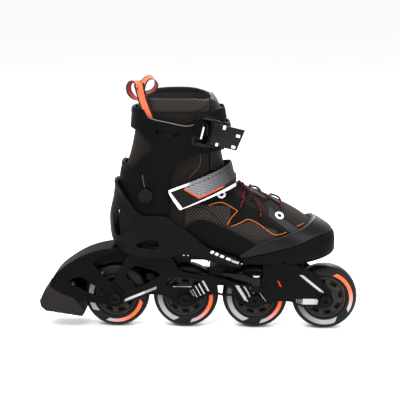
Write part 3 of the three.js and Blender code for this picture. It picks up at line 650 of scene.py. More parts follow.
for low, high in ((-19, -14.5), (14.5, 19)):
    wall = plate("wall", frame_line, low, high)
    outward = (-19.6, -18.4) if low < 0 else (18.4, 19.6)
    combine(wall, plate("panel", inset(frame_line, 2.6), *outward), "DIFFERENCE")
    for window in frame_windows if low < 0 else frame_windows[1:2]:
        rim = plate("rim", inset(window, -2.2), min(outward[0], low), max(outward[1], high))
        rim_wall = combine(rim, bar("keep", -300, 300, low, high, 0, 300), "INTERSECT")
        combine(wall, rim_wall, "UNION")
        combine(wall, plate("hole", window), "DIFFERENCE")
    chassis = wall if chassis is None else combine(chassis, wall, "UNION")
for x in (-55, 25, 105):
    combine(chassis, bar("web", x - 4.5, x + 4.5, -15.5, 15.5, h + 20, h + 27), "UNION")
bridge = [(12, 66.8), (17, 61), (20, 58), (30, 58), (33, 61), (38, 66.8), (45, 71.5), (49, 74), (49, 77),
          (24, 77), (12, 72)]
combine(chassis, plate("bridge", bridge, -15.5, 15.5), "UNION")
combine(chassis, bar("heel_deck", rear + 14, second - 18, -15.5, 15.5, 79, 88), "UNION")
combine(chassis, bar("toe_deck", 90, 120, -15.5, 15.5, 72.7, 78.7), "UNION")


def barrel(name, radius, y0, y1, x, z, sides=48):
    """A round bar across the skate."""
    bpy.ops.mesh.primitive_cylinder_add(
        vertices=sides, radius=radius * mm, depth=(y1 - y0) * mm,
        location=(x * mm, (y0 + y1) / 2 * mm, z * mm), rotation=(math.pi / 2, 0, 0))
    obj = bpy.context.object
    obj.name = name
    pick(obj)
    bpy.ops.object.transform_apply(location=True, rotation=True, scale=True)
    return obj

for x in axles:
    for side in (-1, 1):
        combine(chassis, barrel("inner_boss", 6.2, *sorted((side * 15, side * 12.3)), x, h), "UNION")
        if x != rear:
            combine(chassis, barrel("boss", 9.5, *sorted((side * 18.5, side * 22.3)), x, h), "UNION")
            combine(chassis, barrel("seat", 7.2, *sorted((side * 21.7, side * 24)), x, h), "DIFFERENCE")
combine(chassis, bar("lug", 60, 72, -30, -15.5, 47.8, 54.8), "UNION")


def post(name, radius, z0, z1, x, y=0, sides=40):
    """An upright round bar."""
    bpy.ops.mesh.primitive_cylinder_add(
        vertices=sides, radius=radius * mm, depth=(z1 - z0) * mm,
        location=(x * mm, y * mm, (z0 + z1) / 2 * mm))
    obj = bpy.context.object
    obj.name = name
    pick(obj)
    bpy.ops.object.transform_apply(location=True, rotation=True, scale=True)
    return obj

combine(chassis, post("pin_hole", 2.7, 40, 60, 66, -25), "DIFFERENCE")
soften(chassis, 0.85, 3)
for x in axles:
    combine(chassis, barrel("axle_hole", 4.3, -40, 40, x, h), "DIFFERENCE")
for x in (-71, -43, 105):
    combine(chassis, post("deck_hole", 3.3, 60, 100, x), "DIFFERENCE")


def slanted(paint, x, z, left, right, low, high, lean=0.0, soft=0.25):
    """A bar between two heights whose ends lean; lean is the sideways run for each millimetre of height."""
    shifted = x - (z - low) * lean
    return shifted.within(left, right, soft) * z.within(low, high, soft)


def marked_paint(name, marks, print_colour, others_colour=None, **settings):
    """Black moulded plastic with printed marks, given by a function of x and z."""
    paint = Paint(name)
    place = paint.place()
    x, y, z = paint.parts(place)
    fine = paint.noise(place, 2.4, 3, 0.6)
    cloud = paint.noise(place, 0.045, 3)
    scuff = paint.noise(paint.place(stretch=(0.09, 0.5, 1.2)), 0.6, 4, 0.65).over(0.62, 0.2)
    # Convex edges lighten as a painted highlight, and scuffs as wear.
    edge = paint.convex_highlight() * 0.35
    body = paint.mix(cloud, tone(0.0014, 0.0014, 0.0015), tone(0.003, 0.003, 0.0032))
    colour = paint.mix(edge + scuff * 0.06, body, tone(0.035, 0.035, 0.036))
    first, second_mark = marks(paint, x, y, z)
    print_wear = paint.noise(place, 0.9, 4, 0.7).within(0.3, 0.9, 0.1)
    colour = paint.mix(first * print_wear, colour, print_colour)
    if second_mark is not None:
        colour = paint.mix(second_mark * print_wear, colour, others_colour)
    rough = fine * 0.14 + cloud * 0.08 + 0.42 - edge * 0.12
    return paint.finish(colour, rough, fine, 0.05, **settings)


def frame_marks(paint, x, y, z):
    face = y.size().within(17.2, 22.9, 0.1)
    # A long hatched strip along the rear foot, a bar over the second bolt, slanted bars by the second and
    # third bolts, a strip and a dotted block beside the front one.
    strip = slanted(paint, z - x * 0.42, x, 67.9, 70.9, -86, -48)
    hatch = x.wave(1.3).over(0.35, 0.2).most(1 - x.over(-62, 1))
    over_second = slanted(paint, x, z, -29.5, -8.5, 50.6, 53.2, 1.2)
    bars = slanted(paint, x, z, -5.2, -4.7, 40, 47, -0.6)
    for left, width, low, high in (
            (-1.6, 0.8, 38.5, 48), (2.4, 1.2, 40.5, 52), (6.2, 1.7, 42.5, 56), (10.6, 2.2, 46, 58)):
        bars = bars.most(slanted(paint, x, z, left, left + width, low, high, -0.55))
    for left, width, low, high in (
            (53.2, 4.2, 35, 53), (59.4, 2.0, 39, 52), (62.8, 1.4, 44.5, 51), (77, 0.6, 34.5, 48)):
        bars = bars.most(slanted(paint, x, z, left, left + width, low, high, -0.62))
    strip_front = slanted(paint, x, z, 139, 143.4, 46.5, 66, -1.23)
    block = slanted(paint, x, z, 119, 136, 31.5, 38, 0.1)
    dots = x.wave(2.0).over(0.5, 0.2) * z.wave(2.0).over(0.5, 0.2)
    dots = dots * slanted(paint, x, z, 111, 119, 31.5, 38, 0.1)
    pale = (strip * hatch).most(over_second).most(bars).most(strip_front).most(block).most(dots)
    red = slanted(paint, x, z, 93.5, 95.4, 52, 59, -0.5)
    return pale * face, red * face


def swept(name, path, normals, half_width, half_thick, sides=12, closed=False, square=1.0):
    """A cord or a band along a path, with its flat face towards the normals. Its UV map runs round it and
    along it in millimetres."""
    count = len(path)
    points, along = [], [0.0]
    for i in range(1, count):
        along.append(along[-1] + (path[i] - path[i - 1]).length / mm)
    for i, spot in enumerate(path):
        ahead = path[(i + 1) % count] if closed or i + 1 < count else path[i]
        behind = path[i - 1] if closed or i else path[i]
        forward = (ahead - behind).normalized()
        across = forward.cross(normals[i]).normalized()
        up = across.cross(forward).normalized()
        for k in range(sides):
            a = 2 * math.pi * k / sides
            points.append(spot + (across * half_width * power(math.cos(a), square)
                                  + up * half_thick * power(math.sin(a), square)) * mm)
    faces, maps = [], []
    for i in range(count if closed else count - 1):
        j = (i + 1) % count
        for k in range(sides):
            n = (k + 1) % sides
            faces.append((i * sides + k, i * sides + n, j * sides + n, j * sides + k))
            far = along[j] if j else along[-1] + (path[0] - path[-1]).length / mm
            maps.append((
                (k / sides, along[i]), ((k + 1) / sides, along[i]), ((k + 1) / sides, far), (k / sides, far)))
    if not closed:
        for ring, start in ((range(sides - 1, -1, -1), 0), (range(sides), (count - 1) * sides)):
            faces.append(tuple(start + k for k in ring))
            maps.append(tuple((0.25, along[0 if start == 0 else -1]) for k in range(sides)))
    obj = from_mesh(name, points, faces)
    layer_uv = obj.data.uv_layers.new(name="along").data
    spots = [uv for face in maps for uv in face]
    for loop, uv in enumerate(spots):
        layer_uv[loop].uv = uv
    tidy_normals(obj)
    pick(obj)
    bpy.ops.object.shade_smooth()
    return obj


def strip(name, stops, half=6.0):
    """A ribbon through (x, y, z) stops, each with the direction its right side looks."""
    spots = flowing([tuple(stop[:3]) for stop in stops], 8, False)
    looks = flowing([tuple(stop[3:]) for stop in stops], 8, False)
    path = [Vector(p) * mm for p in spots]
    normals = [Vector(n).normalized() for n in looks]
    return swept(name, path, normals, half, 0.45, 16, False, 0.45)

frame_black = marked_paint(
    "frame_black", frame_marks, tone(0.4, 0.4, 0.4), tone(0.5, 0.025, 0.02), specular_ior_level=0.055)
fit(chassis, "base", ["frame"], frame_black).name = "frame_moulding"

# ---- Brake ----
# A black moulded housing hooks over the rear wheel on two arms under the rear axle bolt. A block of
# brown-grey rubber is screwed under its heel.
black_plastic = moulded_paint(
    "moulded_black", tone(0.0018, 0.0018, 0.0019), tone(0.0036, 0.0036, 0.0038), 0.52,
    specular_ior_level=0.028)

pad_top = [(-76, 13), (-61, 4), (-47, -1), (-43, -7)]


def by_axle(points):
    return [(rear + x, h + z) for x, z in points]

housing_back = [(-2, 58.5), (-18, 56), (-38, 49), (-60, 35), (-72, 23), (-76, 13)]
housing_arm = [
    (-35, -5), (-16, -8), (-7, -10), (3, -10.5), (9, -6), (11, 1), (7, 9), (-5, 19), (-17, 30), (-25, 40),
]
housing_line = by_axle(flowing([(10, 59)] + housing_back, 5, False) + pad_top[1:]
                       + flowing(housing_arm, 4, False) + [(-20, 45), (-4, 53), (11, 54)])
housing_window = by_axle(flowing([(-54, 18), (-40, 24), (-28, 16), (-13, 8), (-15, 1), (-36, 8)], 3))
housing = None
for low, high in ((-22.3, -19.3), (19.3, 22.3)):
    arm = plate("arm", housing_line, low, high)
    combine(arm, plate("opening", housing_window), "DIFFERENCE")
    housing = arm if housing is None else combine(housing, arm, "UNION")
wall_inside = [
    (-42, -3), (-46, 2), (-60, 7), (-70, 14), (-69, 21), (-58, 30), (-37, 43.5), (-18, 50.5), (-2, 53.5),
]
back_wall = by_axle(flowing(housing_back, 5, False) + pad_top[1:] + flowing(wall_inside, 4, False))
combine(housing, plate("back", back_wall, -20.3, 20.3), "UNION")
combine(housing, post("pad_seat", 6, h + 4.2, h + 7.8, rear - 55), "UNION")
fender = by_axle([
    (-35, 21), (-28, 29.6), (-20, 35.6), (-10, 39.6), (2, 40.8), (12.6, 39), (12.6, 54), (-2, 56),
    (-20, 52), (-44, 40),
])
combine(housing, plate("fender", fender, -14, 14), "UNION")
swollen = last(10.2)
combine(housing, swollen, "DIFFERENCE")
soften(housing, 0.9, 3)
combine(housing, barrel("axle_hole", 4.3, -40, 40, rear, h), "DIFFERENCE")
combine(housing, post("screw_hole", 2.8, h - 12, h + 14, rear - 55), "DIFFERENCE")
fit(housing, "base", ["brake_housing"], black_plastic).name = "brake_housing_moulding"

pad_line = by_axle([(x, z - 0.3) for x, z in pad_top]
                   + [(-36, -19), (-39, -23), (-81, -17), (-86.5, -12), (-88, -5), (-81, 10)])
pad = plate("pad", pad_line, -22.3, 22.3)
for x in (-72, -62, -52):
    groove = moved(bar("groove", -1, 1, -30, 30, -2.4, 2), rear + x, 0, h - 20 + 0.1 * (x + 60) * -1.4)
    combine(pad, groove, "DIFFERENCE")
soften(pad, 0.9, 4)
combine(pad, post("screw_hole", 2.8, h - 40, h + 14, rear - 55), "DIFFERENCE")
rubber = moulded_paint(
    "brake_rubber", tone(0.009, 0.008, 0.0072), tone(0.016, 0.014, 0.013), 0.78, 0.5, 0.12, 0.15,
    specular_ior_level=0.1)
fit(pad, "base", ["brake_pad"], rubber).name = "brake_pad_block"
for node in ("brake_pad_screw", "deck_bolt_rear", "deck_bolt_front", "toe_guide_screw"):
    wear(frame["nodes"][node], steel)

# ---- Heel shell ----
# One black moulding cups the heel and carries the cuff's rivets. Its rim is a raised lip, and openings
# beside the heel and the arch let the boot breathe. Two screws hold it to the frame.
cuff_inner, cuff_outer = 2.4, 5.4
shell_inner, shell_outer = 6.9, 9.9
toe_inner, toe_outer = 1.5, 5
heel_curve = flowing([
    (-112, 176), (-104, 175.5), (-96, 175), (-89, 170), (-80, 158), (-70, 146), (-64, 141), (-58, 139),
    (-39, 139), (-31, 137), (-27, 133), (-20, 127), (-9, 121), (4, 110), (14, 103), (25, 99), (43, 94),
], 4, False)
heel_rim = heel_curve + [(50, 83), (46, 76), (40, 60), (-112, 60)]
rim_lip = heel_curve + [(x - 0.8, z - 4.2) for x, z in reversed(heel_curve)]
eye_window = flowing([(-69, 104), (-55, 112), (-49, 111.5), (-43, 107), (-47, 100.5), (-63, 101)], 4)
side_vent = flowing([(-93, 145), (-85, 139), (-77, 130), (-78, 121), (-90, 113), (-94, 123)], 4)
rivet_at = Vector((-57, 0, 161))


def layer(inner, outer, part="boot"):
    """The solid between two heights over the last."""
    return combine(last(outer, part), last(inner, part), "DIFFERENCE")


def shell(name, outline, inner, outer, part="boot", raised=(), cuts=(), extra=(), voxel=1.0, rounds=5):
    """A moulded skin: a layer trimmed to a side outline, with raised fields and openings.

    raised holds (outline, low, high) fields, extra solids to join on, and cuts solids to take away."""
    made = combine(layer(inner, outer, part), plate("trim", outline), "INTERSECT")
    for block in extra:
        made = combine(made, combine(block, last(inner, part), "DIFFERENCE"), "UNION")
    for field, low, high in raised:
        patch = combine(layer(low, high, part), plate("field", field), "INTERSECT")
        made = combine(made, combine(patch, plate("trim", outline), "INTERSECT"), "UNION")
    for tool in cuts:
        made = combine(made, tool, "DIFFERENCE")
    made.name = name
    return soften(made, voxel, rounds)


def both_sides(name, outline, gap):
    """An opening cut through both side walls but not through the middle."""
    return combine(plate(name, outline), bar("middle", -200, 200, -gap, gap, 0, 300), "DIFFERENCE")

heel_shell = shell(
    "heel_shell_mould", heel_rim, shell_inner, shell_outer,
    raised=[(rim_lip, shell_inner, shell_outer + 0.9)],
    cuts=[
        plate("eye", eye_window),
        both_sides("vents", side_vent, 11),
        barrel("rivet_hole", 3.8, -60, 60, rivet_at.x, rivet_at.z),
        bar("toe_floor", 12, 70, -27, 27, 40, 84),
        bar("deck", -400, -27, -80, 80, 0, 88.3),
    ],
    extra=[
        bar("keel", -27, 19.4, -19, 19, 82.8, 96),
        bar("keel_heel", -28, -8.6, -12, 12, 77.4, 84),
        bar("keel_toe", 10.6, 13, -12, 12, 77.4, 84),
    ])


def heel_marks(paint, x, y, z):
    # Slanted pale bars run down to the shell's front point.
    face = 1 - y.size().within(-1, 20, 0.5)
    line = z + x * 0.42
    bars = x * 0
    for left, width in ((14, 3.0), (19, 3.4), (24.5, 4.0), (31, 5.0)):
        bars = bars.most(slanted(paint, x, line, left, left + width, 104.4, 108.2, 0.5))
    tail = slanted(paint, x, line, 37, 45, 104.4, 107.8, 0.5) * (x + z).wave(1.4).over(0.3, 0.2)
    # Two small pale dots sit on the shell below the bars.
    pale_dots = x * 0
    for spot in (-15.5, -10.8):
        ahead = x - spot
        above = z - 92.3
        spread = ahead * ahead + above * above
        pale_dots = pale_dots.most(1 - spread.over(0.6, 0.5))
    return bars.most(tail).most(pale_dots) * face, None

heel_black = marked_paint("heel_black", heel_marks, tone(0.62, 0.63, 0.65), specular_ior_level=0.055)
fit(heel_shell, "base", ["heel_shell"], heel_black)

# Pale, glossy paint for thin cords along the rims: their colour is a painted highlight.
edge_gleam = moulded_paint(
    "painted_rim_highlight", tone(0.07, 0.07, 0.072), tone(0.12, 0.12, 0.122), 0.4, specular_ior_level=0.2)

# ---- Cuff ----
# A stiff moulded cuff swings on two rivets in the heel shell's sides. A front flap overlaps its body, and
# its rear opens in a window. The buckle and the ladder strap close it.
cuff_line = flowing([
    (-59, 256), (-53, 248), (-33, 244), (-12, 240), (-1, 243), (13, 253), (22, 257), (34, 256), (42, 240),
    (42, 215), (30, 210), (14, 209), (2, 208), (-12, 203), (-22, 196), (-29, 187), (-31, 176), (-32, 160),
    (-32, 133), (-40, 131.5), (-58, 131.5), (-66, 136), (-76, 147), (-87, 162), (-94, 168),
], 4, False) + [(-112, 170), (-112, 197)] + flowing([
    (-92, 197), (-85, 196), (-77, 191), (-73, 192), (-65, 200), (-55, 208), (-49, 215), (-58, 224),
    (-66, 231), (-76, 234),
], 4, False) + [(-112, 234), (-112, 257), (-70, 257)]
cuff_window = flowing([(-47, 233.5), (-34, 223), (-19, 229.5), (-32, 233)], 3)
front_flap = flowing([
    (-29, 219), (-16, 226), (-9, 232), (-2, 240), (6, 248), (22, 262), (60, 262), (60, 190), (2, 190),
    (-24, 190),
], 4)
cuff_lip = flowing(
    [(-59, 256), (-53, 248), (-33, 244), (-12, 240), (-1, 243), (13, 253), (22, 257)], 5, False)
cuff_lip += [(x, z - 3.2) for x, z in reversed(cuff_lip)]
cuff = shell(
    "cuff_mould", cuff_line, cuff_inner, cuff_outer,
    raised=[
        (front_flap, cuff_inner, cuff_outer + 0.8),
        (cuff_lip, cuff_inner, cuff_outer + 0.9),
        ([(-112, 257), (-112, 251), (-70, 251), (-62, 257)], cuff_inner, cuff_outer + 0.9),
        ([(-112, 197), (-112, 193), (-84, 192), (-76, 187), (-72, 191), (-77, 192), (-85, 197)], cuff_inner,
         cuff_outer + 0.9),
    ],
    cuts=[
        bar("front_gap", 8, 400, -12, 12, 150, 300),
        plate("window", cuff_window),
        barrel("rivet_hole", 3.8, -60, 60, rivet_at.x, rivet_at.z),
        barrel("ladder_rivet_hole", 3.4, 10, 60, -6, 238.5),
    ])
fit(cuff, "cuff_group", ["cuff"], black_plastic)

# The rivets are dark domed heads with a shallow slotted face, and a thin engraved line rises from the outer
# one, drawn as a cord whose pale colour is a painted highlight.
rivet_paint = metal_paint("rivet_bronze", tone(0.007, 0.006, 0.005), tone(0.017, 0.0135, 0.012), 0.42)
rivet_profile = [
    (0, 33.6), (3.5, 33.6), (3.5, 40.9), (7.6, 40.9), (8, 41.3), (7.9, 42), (7, 42.8), (6.2, 43),
    (5.6, 42.7), (4.8, 42.6), (3.4, 43), (2.4, 42.6), (1.6, 42), (0, 41.9),
]
for name, sign in (("outer", -1), ("inner", 1)):
    rivet = moved(turned(f"cuff_rivet_{name}_head", [(r, sign * y) for r, y in rivet_profile], 64),
                  rivet_at.x, 0, rivet_at.z)
    smooth_shade(rivet, 50)
    fit(rivet, "cuff_group", [f"cuff_rivet_{name}"], rivet_paint)

# Pale, glossy paint for the engraved line: its paleness is a painted highlight.
trim_paint = moulded_paint(
    "painted_line_highlight", tone(0.03, 0.03, 0.03), tone(0.06, 0.06, 0.06), 0.3, specular_ior_level=0.4)
skins = {}


def skin_tree(height):
    """The last's surface at a height, ready to be pierced by lines."""
    if height not in skins:
        base = last(height)
        skins[height] = BVHTree.FromPolygons([v.co for v in base.data.vertices],
                                             [p.vertices for p in base.data.polygons])
        discard(base)
    return skins[height]


def on_skin(x, z, side=-1, height=0.0, lift=0.0):
    """The point and the outward direction of the last where a line across the skate at (x, z) meets it."""
    spot, normal, face, far = skin_tree(height).ray_cast(
        Vector((x * mm, side * 0.09, z * mm)), Vector((0, -side, 0)))
    if spot is None:
        spot, normal, face, far = skin_tree(height).find_nearest(Vector((x * mm, side * 0.005, z * mm)))
    return spot + normal * lift * mm, normal


def laid(points, side=-1, height=0.0, lift=0.0, steps=6, closed=False):
    """A line drawn over the last through side points: its places and outward directions."""
    found = [on_skin(x, z, side, height, lift) for x, z in flowing(points, steps, closed)]
    return [spot for spot, normal in found], [normal for spot, normal in found]

for side, word in ((-1, "outer"), (1, "inner")):
    drop_line = laid([(-61, 184), (-60, 177), (-58.6, 170)], side, cuff_outer, 0.0)
    drop = swept(f"cuff_drop_line_{word}", *drop_line, 0.35, 0.25, 8)
    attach(wear(drop, trim_paint), "cuff_group")

# Thin pale cords on the cuff's and the heel shell's rims are painted highlights along the rounded rims.
cuff_gleam = [(-56, 252.6), (-52, 247.2), (-33, 243.2), (-12, 239.2), (-1, 242.2), (9, 249.4)]
heel_gleam = [
    (-93, 169), (-80, 153.6), (-70, 141.6), (-64, 136.6), (-58, 134.6), (-39, 134.6), (-31, 132.6),
]
for side, word in ((-1, "outer"), (1, "inner")):
    for name, points, height, body in (
        ("cuff_rim_line", cuff_gleam, cuff_outer + 0.9, "cuff_group"),
        ("heel_rim_line", heel_gleam, shell_outer, "base"),
    ):
        line = swept(f"{name}_{word}", *laid(points, side, height, -0.12, 5), 0.4, 0.3, 8)
        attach(wear(line, edge_gleam), body)

# ---- Toe shell, rand and side guards ----
# The toe shell slides out on its screw. A glossy rand covers the toe and the lower edge of the soft
# upper, and a smooth guard covers the ball of the foot on each side.
toe_edge = flowing([(49, 91), (89, 101), (116, 108), (137, 114.6), (170, 117)], 5, False)
toe_shell = shell(
    "toe_shell_mould", [(20, 60), (20, 89), (34, 88)] + toe_edge + [(170, 60)], toe_inner, toe_outer,
    cuts=[bar("guide_slot", 85, 105, -3.6, 3.6, 60, 95), barrel("drain", 1.6, -60, -20, 97, 87),
          bar("toe_slot", 122, 137, -60, -24, 95.6, 97)])
fit(toe_shell, "toe_group", ["toe_shell"], black_plastic)
gloss_black = moulded_paint(
    "gloss_black", tone(0.0016, 0.0016, 0.0018), tone(0.003, 0.003, 0.0034), 0.34, 0.2, 0.02, 0.3,
    specular_ior_level=0.12)


def leather_paint(name, low, high, roughness, crease=0.25):
    """Smooth coated leather: pebbled grain, slow creases and a soft sheen."""
    paint = Paint(name)
    place = paint.place()
    pebble = paint.node("ShaderNodeTexVoronoi", (), {"Vector": place, "Scale": 1.1, "Randomness": 1.0})
    crinkle = paint.noise(paint.place(stretch=(1, 0.4, 1.6)), 0.11, 4, 0.6)
    cloud = paint.noise(place, 0.05, 2)
    relief = pebble * 0.5 + crinkle * (crease * 12)
    rough = cloud * 0.14 + crinkle * 0.1 + (roughness - 0.12)
    return paint.finish(paint.mix(cloud, low, high), rough, relief, 0.07, specular_ior_level=0.12)

rand_leather = leather_paint("rand_leather", tone(0.002, 0.002, 0.0022), tone(0.005, 0.0048, 0.0048), 0.36)
rand_top = flowing([(130, 131), (116, 124), (82, 114), (64, 108), (44, 93.5)], 5, False)
rand_line = [(x, z + 0.6) for x, z in toe_edge] + [(170, 134), (150, 134)] + rand_top
toe_rand = shell("toe_rand_cover", rand_line, 0.5, toe_outer - 0.2, voxel=0.9, rounds=4)
fit(toe_rand, "toe_group", ["toe_rand"], rand_leather)
for side, name in ((-1, "outer"), (1, "inner")):
    guard_line = flowing([
        (-16, 122), (-6, 131), (5, 134), (16, 131.5), (35, 124), (60, 111), (62, 107.6), (43, 93.6),
        (34, 92.4), (22, 98), (-2, 106), (-16, 110),
    ], 4)
    guard = shell(
        f"side_guard_{name}_mould", guard_line, 0.5, toe_outer - 0.3,
        cuts=[bar("other_side", -100, 200, *sorted((side * 5, side * -100)), 0, 300)], rounds=6)
    fit(guard, "base", [f"side_guard_{name}"], black_plastic)

# ---- Size lever ----
# A glossy lever on an upright steel pin clamps the sliding toe. It turns out to free the size adjustment.
lever_line = flowing([(29, 67.8), (28, 70.8), (40, 70), (52, 68.8), (60, 65.8), (66, 65.6)], 3, False)
lever_line += [(66, 56.8), (58, 58.8)]
lever_blade = plate("size_lever_blade", lever_line, -28, -20.5)
combine(lever_blade, post("hub", 5.5, 55.1, 65.8, 66, -25), "UNION")
soften(lever_blade, 0.6, 3)
combine(lever_blade, post("hole", 2.7, 40, 80, 66, -25), "DIFFERENCE")
fit(lever_blade, "size_lever", ["size_lever"], gloss_black)
lever_pin = post("size_lever_pin_turned", 2.4, 48.8, 66.1, 66, -25)
combine(lever_pin, post("head", 4.6, 66.1, 67.8, 66, -25), "UNION")
modify(lever_pin, "BEVEL", width=0.3 * mm, segments=2, limit_method="ANGLE", angle_limit=math.radians(40))
smooth_shade(lever_pin, 35)
fit(lever_pin, "base", ["size_lever_pin"], steel)

# ---- Soft boot ----
# A padded knitted boot fills the shells. Its collar is quilted with a diamond net on the upper half,
# bound along the top and joined by a seam to a smooth black tongue.
def knit_paint(name, low, high, net, kind):
    """Knitted fabric round the leg or the foot: fine ribs, and a raised net inside the given fields."""
    paint = Paint(name)
    place = paint.place((-28, 0, 0) if kind == "leg" else (0, 4, 112))
    x, y, z = paint.parts(place)
    if kind == "leg":
        round_leg = paint.node("ShaderNodeMath", {"operation": "ARCTAN2"}, [y, x]) * 38
        across, along = round_leg, z
        side_x = x - 28
        height = z
    else:
        across = paint.node("ShaderNodeMath", {"operation": "ARCTAN2"}, [z, y]) * 40
        along = x
        side_x = x
        height = z + 112
    knit = across.wave(0.9) * 0.5 + along.wave(0.8) * 0.5
    fuzz = paint.noise(place, 1.8, 3, 0.6)
    cloud = paint.noise(place, 0.05, 3)
    rise = (across + along).wave(3.6)
    fall = (across - along).wave(3.6)
    lines = rise.most(fall).over(0.82, 0.14)
    field = net(paint, side_x, height)
    base = paint.mix(cloud * 0.6 + fuzz * 0.4, low, high)
    if kind == "foot":
        # Black leather covers the quarter, and a grey strip runs down from the front eyelet.
        slant = height + side_x * 0.7
        quarter = (1 - slant.over(189, 0.5)) * (1 - field)
        strip = slant.within(192.4, 201.6, 0.4) * side_x.within(79, 116, 0.6)
        base = paint.mix(quarter, base, tone(0.0022, 0.0023, 0.0022))
        base = paint.mix(strip, base, tone(0.022, 0.022, 0.0235))
    bright = tuple(min(1, 4.8 * value + 0.013) for value in high[:3]) + (1,)
    colour = paint.mix(lines * field * (fuzz * 0.6 + 0.35), base, bright)
    relief = knit * 0.35 + lines * field * 1.2 + fuzz * 0.3
    return paint.finish(colour, 0.9, relief, 0.12, specular_ior_level=0.06, sheen_weight=0.06,
                        sheen_roughness=0.5)

collar_knit = knit_paint(
    "collar_knit", tone(0.0058, 0.0045, 0.0038), tone(0.0105, 0.0084, 0.0072),
    lambda paint, x, z: z.within(253, 267.5, 2.5) * (1 - x.over(13, 0.5)), "leg")
boot_top = flowing([(-140, 263), (-95, 265), (-66, 269), (-45, 271), (-22, 271.5), (-6, 271),
                    (12.4, 267.8)], 4, False)
boot_line = boot_top + [(12.4, 185.5)] + [(-15.5, 170), (-15.5, 60), (-140, 60)]
inner_boot = shell("inner_boot", boot_line, -6, -0.5, voxel=1.3, rounds=7)
# The collar stands higher on the inner side than on the outer side.
for vertex in inner_boot.data.vertices:
    vertex.co.z += 0.11 * vertex.co.y * ramp(vertex.co.z / mm, 245, 267)
fit(inner_boot, "base", ["heel_liner", "ankle_liner"], collar_knit)
tongue_line = flowing([(12.9, 269.6), (18, 265.5), (24, 258.5), (30, 249.5), (36, 243)], 4, False) + [
    (60, 240), (60, 193), (50, 190), (36, 188), (12.9, 186)]
tongue = shell("tongue_pad", tongue_line, -6, 0.4, voxel=1.2, rounds=7)
for vertex in tongue.data.vertices:
    vertex.co.z += 0.11 * vertex.co.y * ramp(vertex.co.z / mm, 240, 262)
smooth_lining = leather_paint("smooth_lining", tone(0.0025, 0.0025, 0.0027), tone(0.005, 0.005, 0.0052),
                              0.6, 0.5)
fit(tongue, "base", ["tongue"], smooth_lining)

upper_line = [(-15, 60), (-15, 170), (12.4, 184)] + flowing([(30, 186), (50, 189)], 3, False)
upper_line += [(60, 190), (170, 190), (170, 60)]


def upper_net(paint, x, z):
    # Two mesh panels show on the flank between the smooth overlays.
    rear_panel = (z + x * 0.05).within(104, 149.5, 0.6) * x.within(-20, 36, 0.6)
    rear_panel = rear_panel * (z - x * 0.6).over(100, 0.8)
    middle = (z + (x - 58).size() * 0.36).within(100, 133, 0.8) * x.within(34, 88, 0.6)
    return rear_panel.most(middle)

upper_knit = knit_paint(
    "upper_knit", tone(0.0052, 0.0042, 0.0034), tone(0.0095, 0.0078, 0.0066), upper_net, "foot")
upper = shell("forefoot_upper_knit", upper_line, -6, -0.4, voxel=1.2, rounds=6)
fit(upper, "base", ["forefoot_upper"], upper_knit)

insole = frame["nodes"]["insole"].copy()
insole.data = insole.data.copy()
insole.name = "insole_pad"
bpy.context.scene.collection.objects.link(insole)
insole.parent = None
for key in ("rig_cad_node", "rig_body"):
    if key in insole:
        del insole[key]
tidy_normals(insole)
soften(insole, 1.0, 4)
fit(insole, "base", ["insole"], smooth_lining)

# Orange piping, stitched seams and eyelet rings lie on the upper.
thread_orange = leather_paint("piping_orange", tone(0.36, 0.075, 0.011), tone(0.5, 0.14, 0.022), 0.6)
thread_dark = leather_paint("seam_black", tone(0.0015, 0.0015, 0.0015), tone(0.003, 0.003, 0.003), 0.6)
piping_lines = [
    ("rear", [
        (12, 149), (17, 151), (25, 152.4), (30, 151.5), (37, 148), (43, 144.6), (44, 143.4), (38, 137),
        (33, 129)]),
    ("middle", [(37, 127), (47, 131), (52, 133.6), (56, 135), (62, 133.4), (70, 129), (75, 125)]),
    ("front", [(76, 124.6), (81, 121), (86, 118.6), (93, 119), (99, 121)]),
    ("toe", [(111, 125.6), (115, 126.6), (119, 127.2)]),
]
soft_lines = []
for side, word in ((-1, "outer"), (1, "inner")):
    for name, points in piping_lines:
        line = swept(f"piping_{name}_{word}", *laid(points, side, 0, -0.2, 5), 0.42, 0.4, 8)
        soft_lines.append(fit(line, "base", [], thread_orange))

# Dark seams edge the strip beside the toe, the eyelet row and the flank. The collar has two of its own, and
# a grey one closes the lining.
for side, word in ((-1, "outer"), (1, "inner")):
    for name, points, half, thick in (
        ("strip_edge_rear", [(80, 136.5), (88, 131), (97, 124.5), (102, 120)], 0.45, 0.4),
        ("strip_edge_front", [(95, 135), (103, 130), (111, 125), (116, 122)], 0.45, 0.4),
        ("eyestay_edge", [(48, 153), (62, 146), (75, 139), (88, 130.5)], 0.4, 0.35),
        ("flank_seam", [(-14, 150), (0, 147), (12, 143.5), (30, 128.5)], 0.4, 0.35),
    ):
        line = swept(f"{name}_{word}", *laid(points, side, 0, -0.15, 4), half, thick, 8)
        soft_lines.append(fit(line, "base", [], thread_dark))
thread_grey = leather_paint("seam_grey", tone(0.03, 0.029, 0.028), tone(0.06, 0.058, 0.055), 0.6)
collar_lines = []
for side, word in ((-1, "outer"), (1, "inner")):
    for name, points in (
        ("collar_seam_low", [(-64, 251), (-50, 252.5), (-28, 254), (-6, 254), (4, 257), (12, 262)]),
        ("collar_seam_front", [(12.6, 266), (13, 262), (14, 257), (11, 252), (9, 246)]),
        ("liner_seam", [(2, 208), (3.4, 200), (1, 192), (-4, 186), (-10, 180)]),
    ):
        line = swept(f"{name}_{word}", *laid(points, side, 0, -0.1, 4), 0.4, 0.35, 8)
        thread = thread_grey if name == "liner_seam" else thread_dark
        collar_lines.append(fit(line, "base", [], thread))

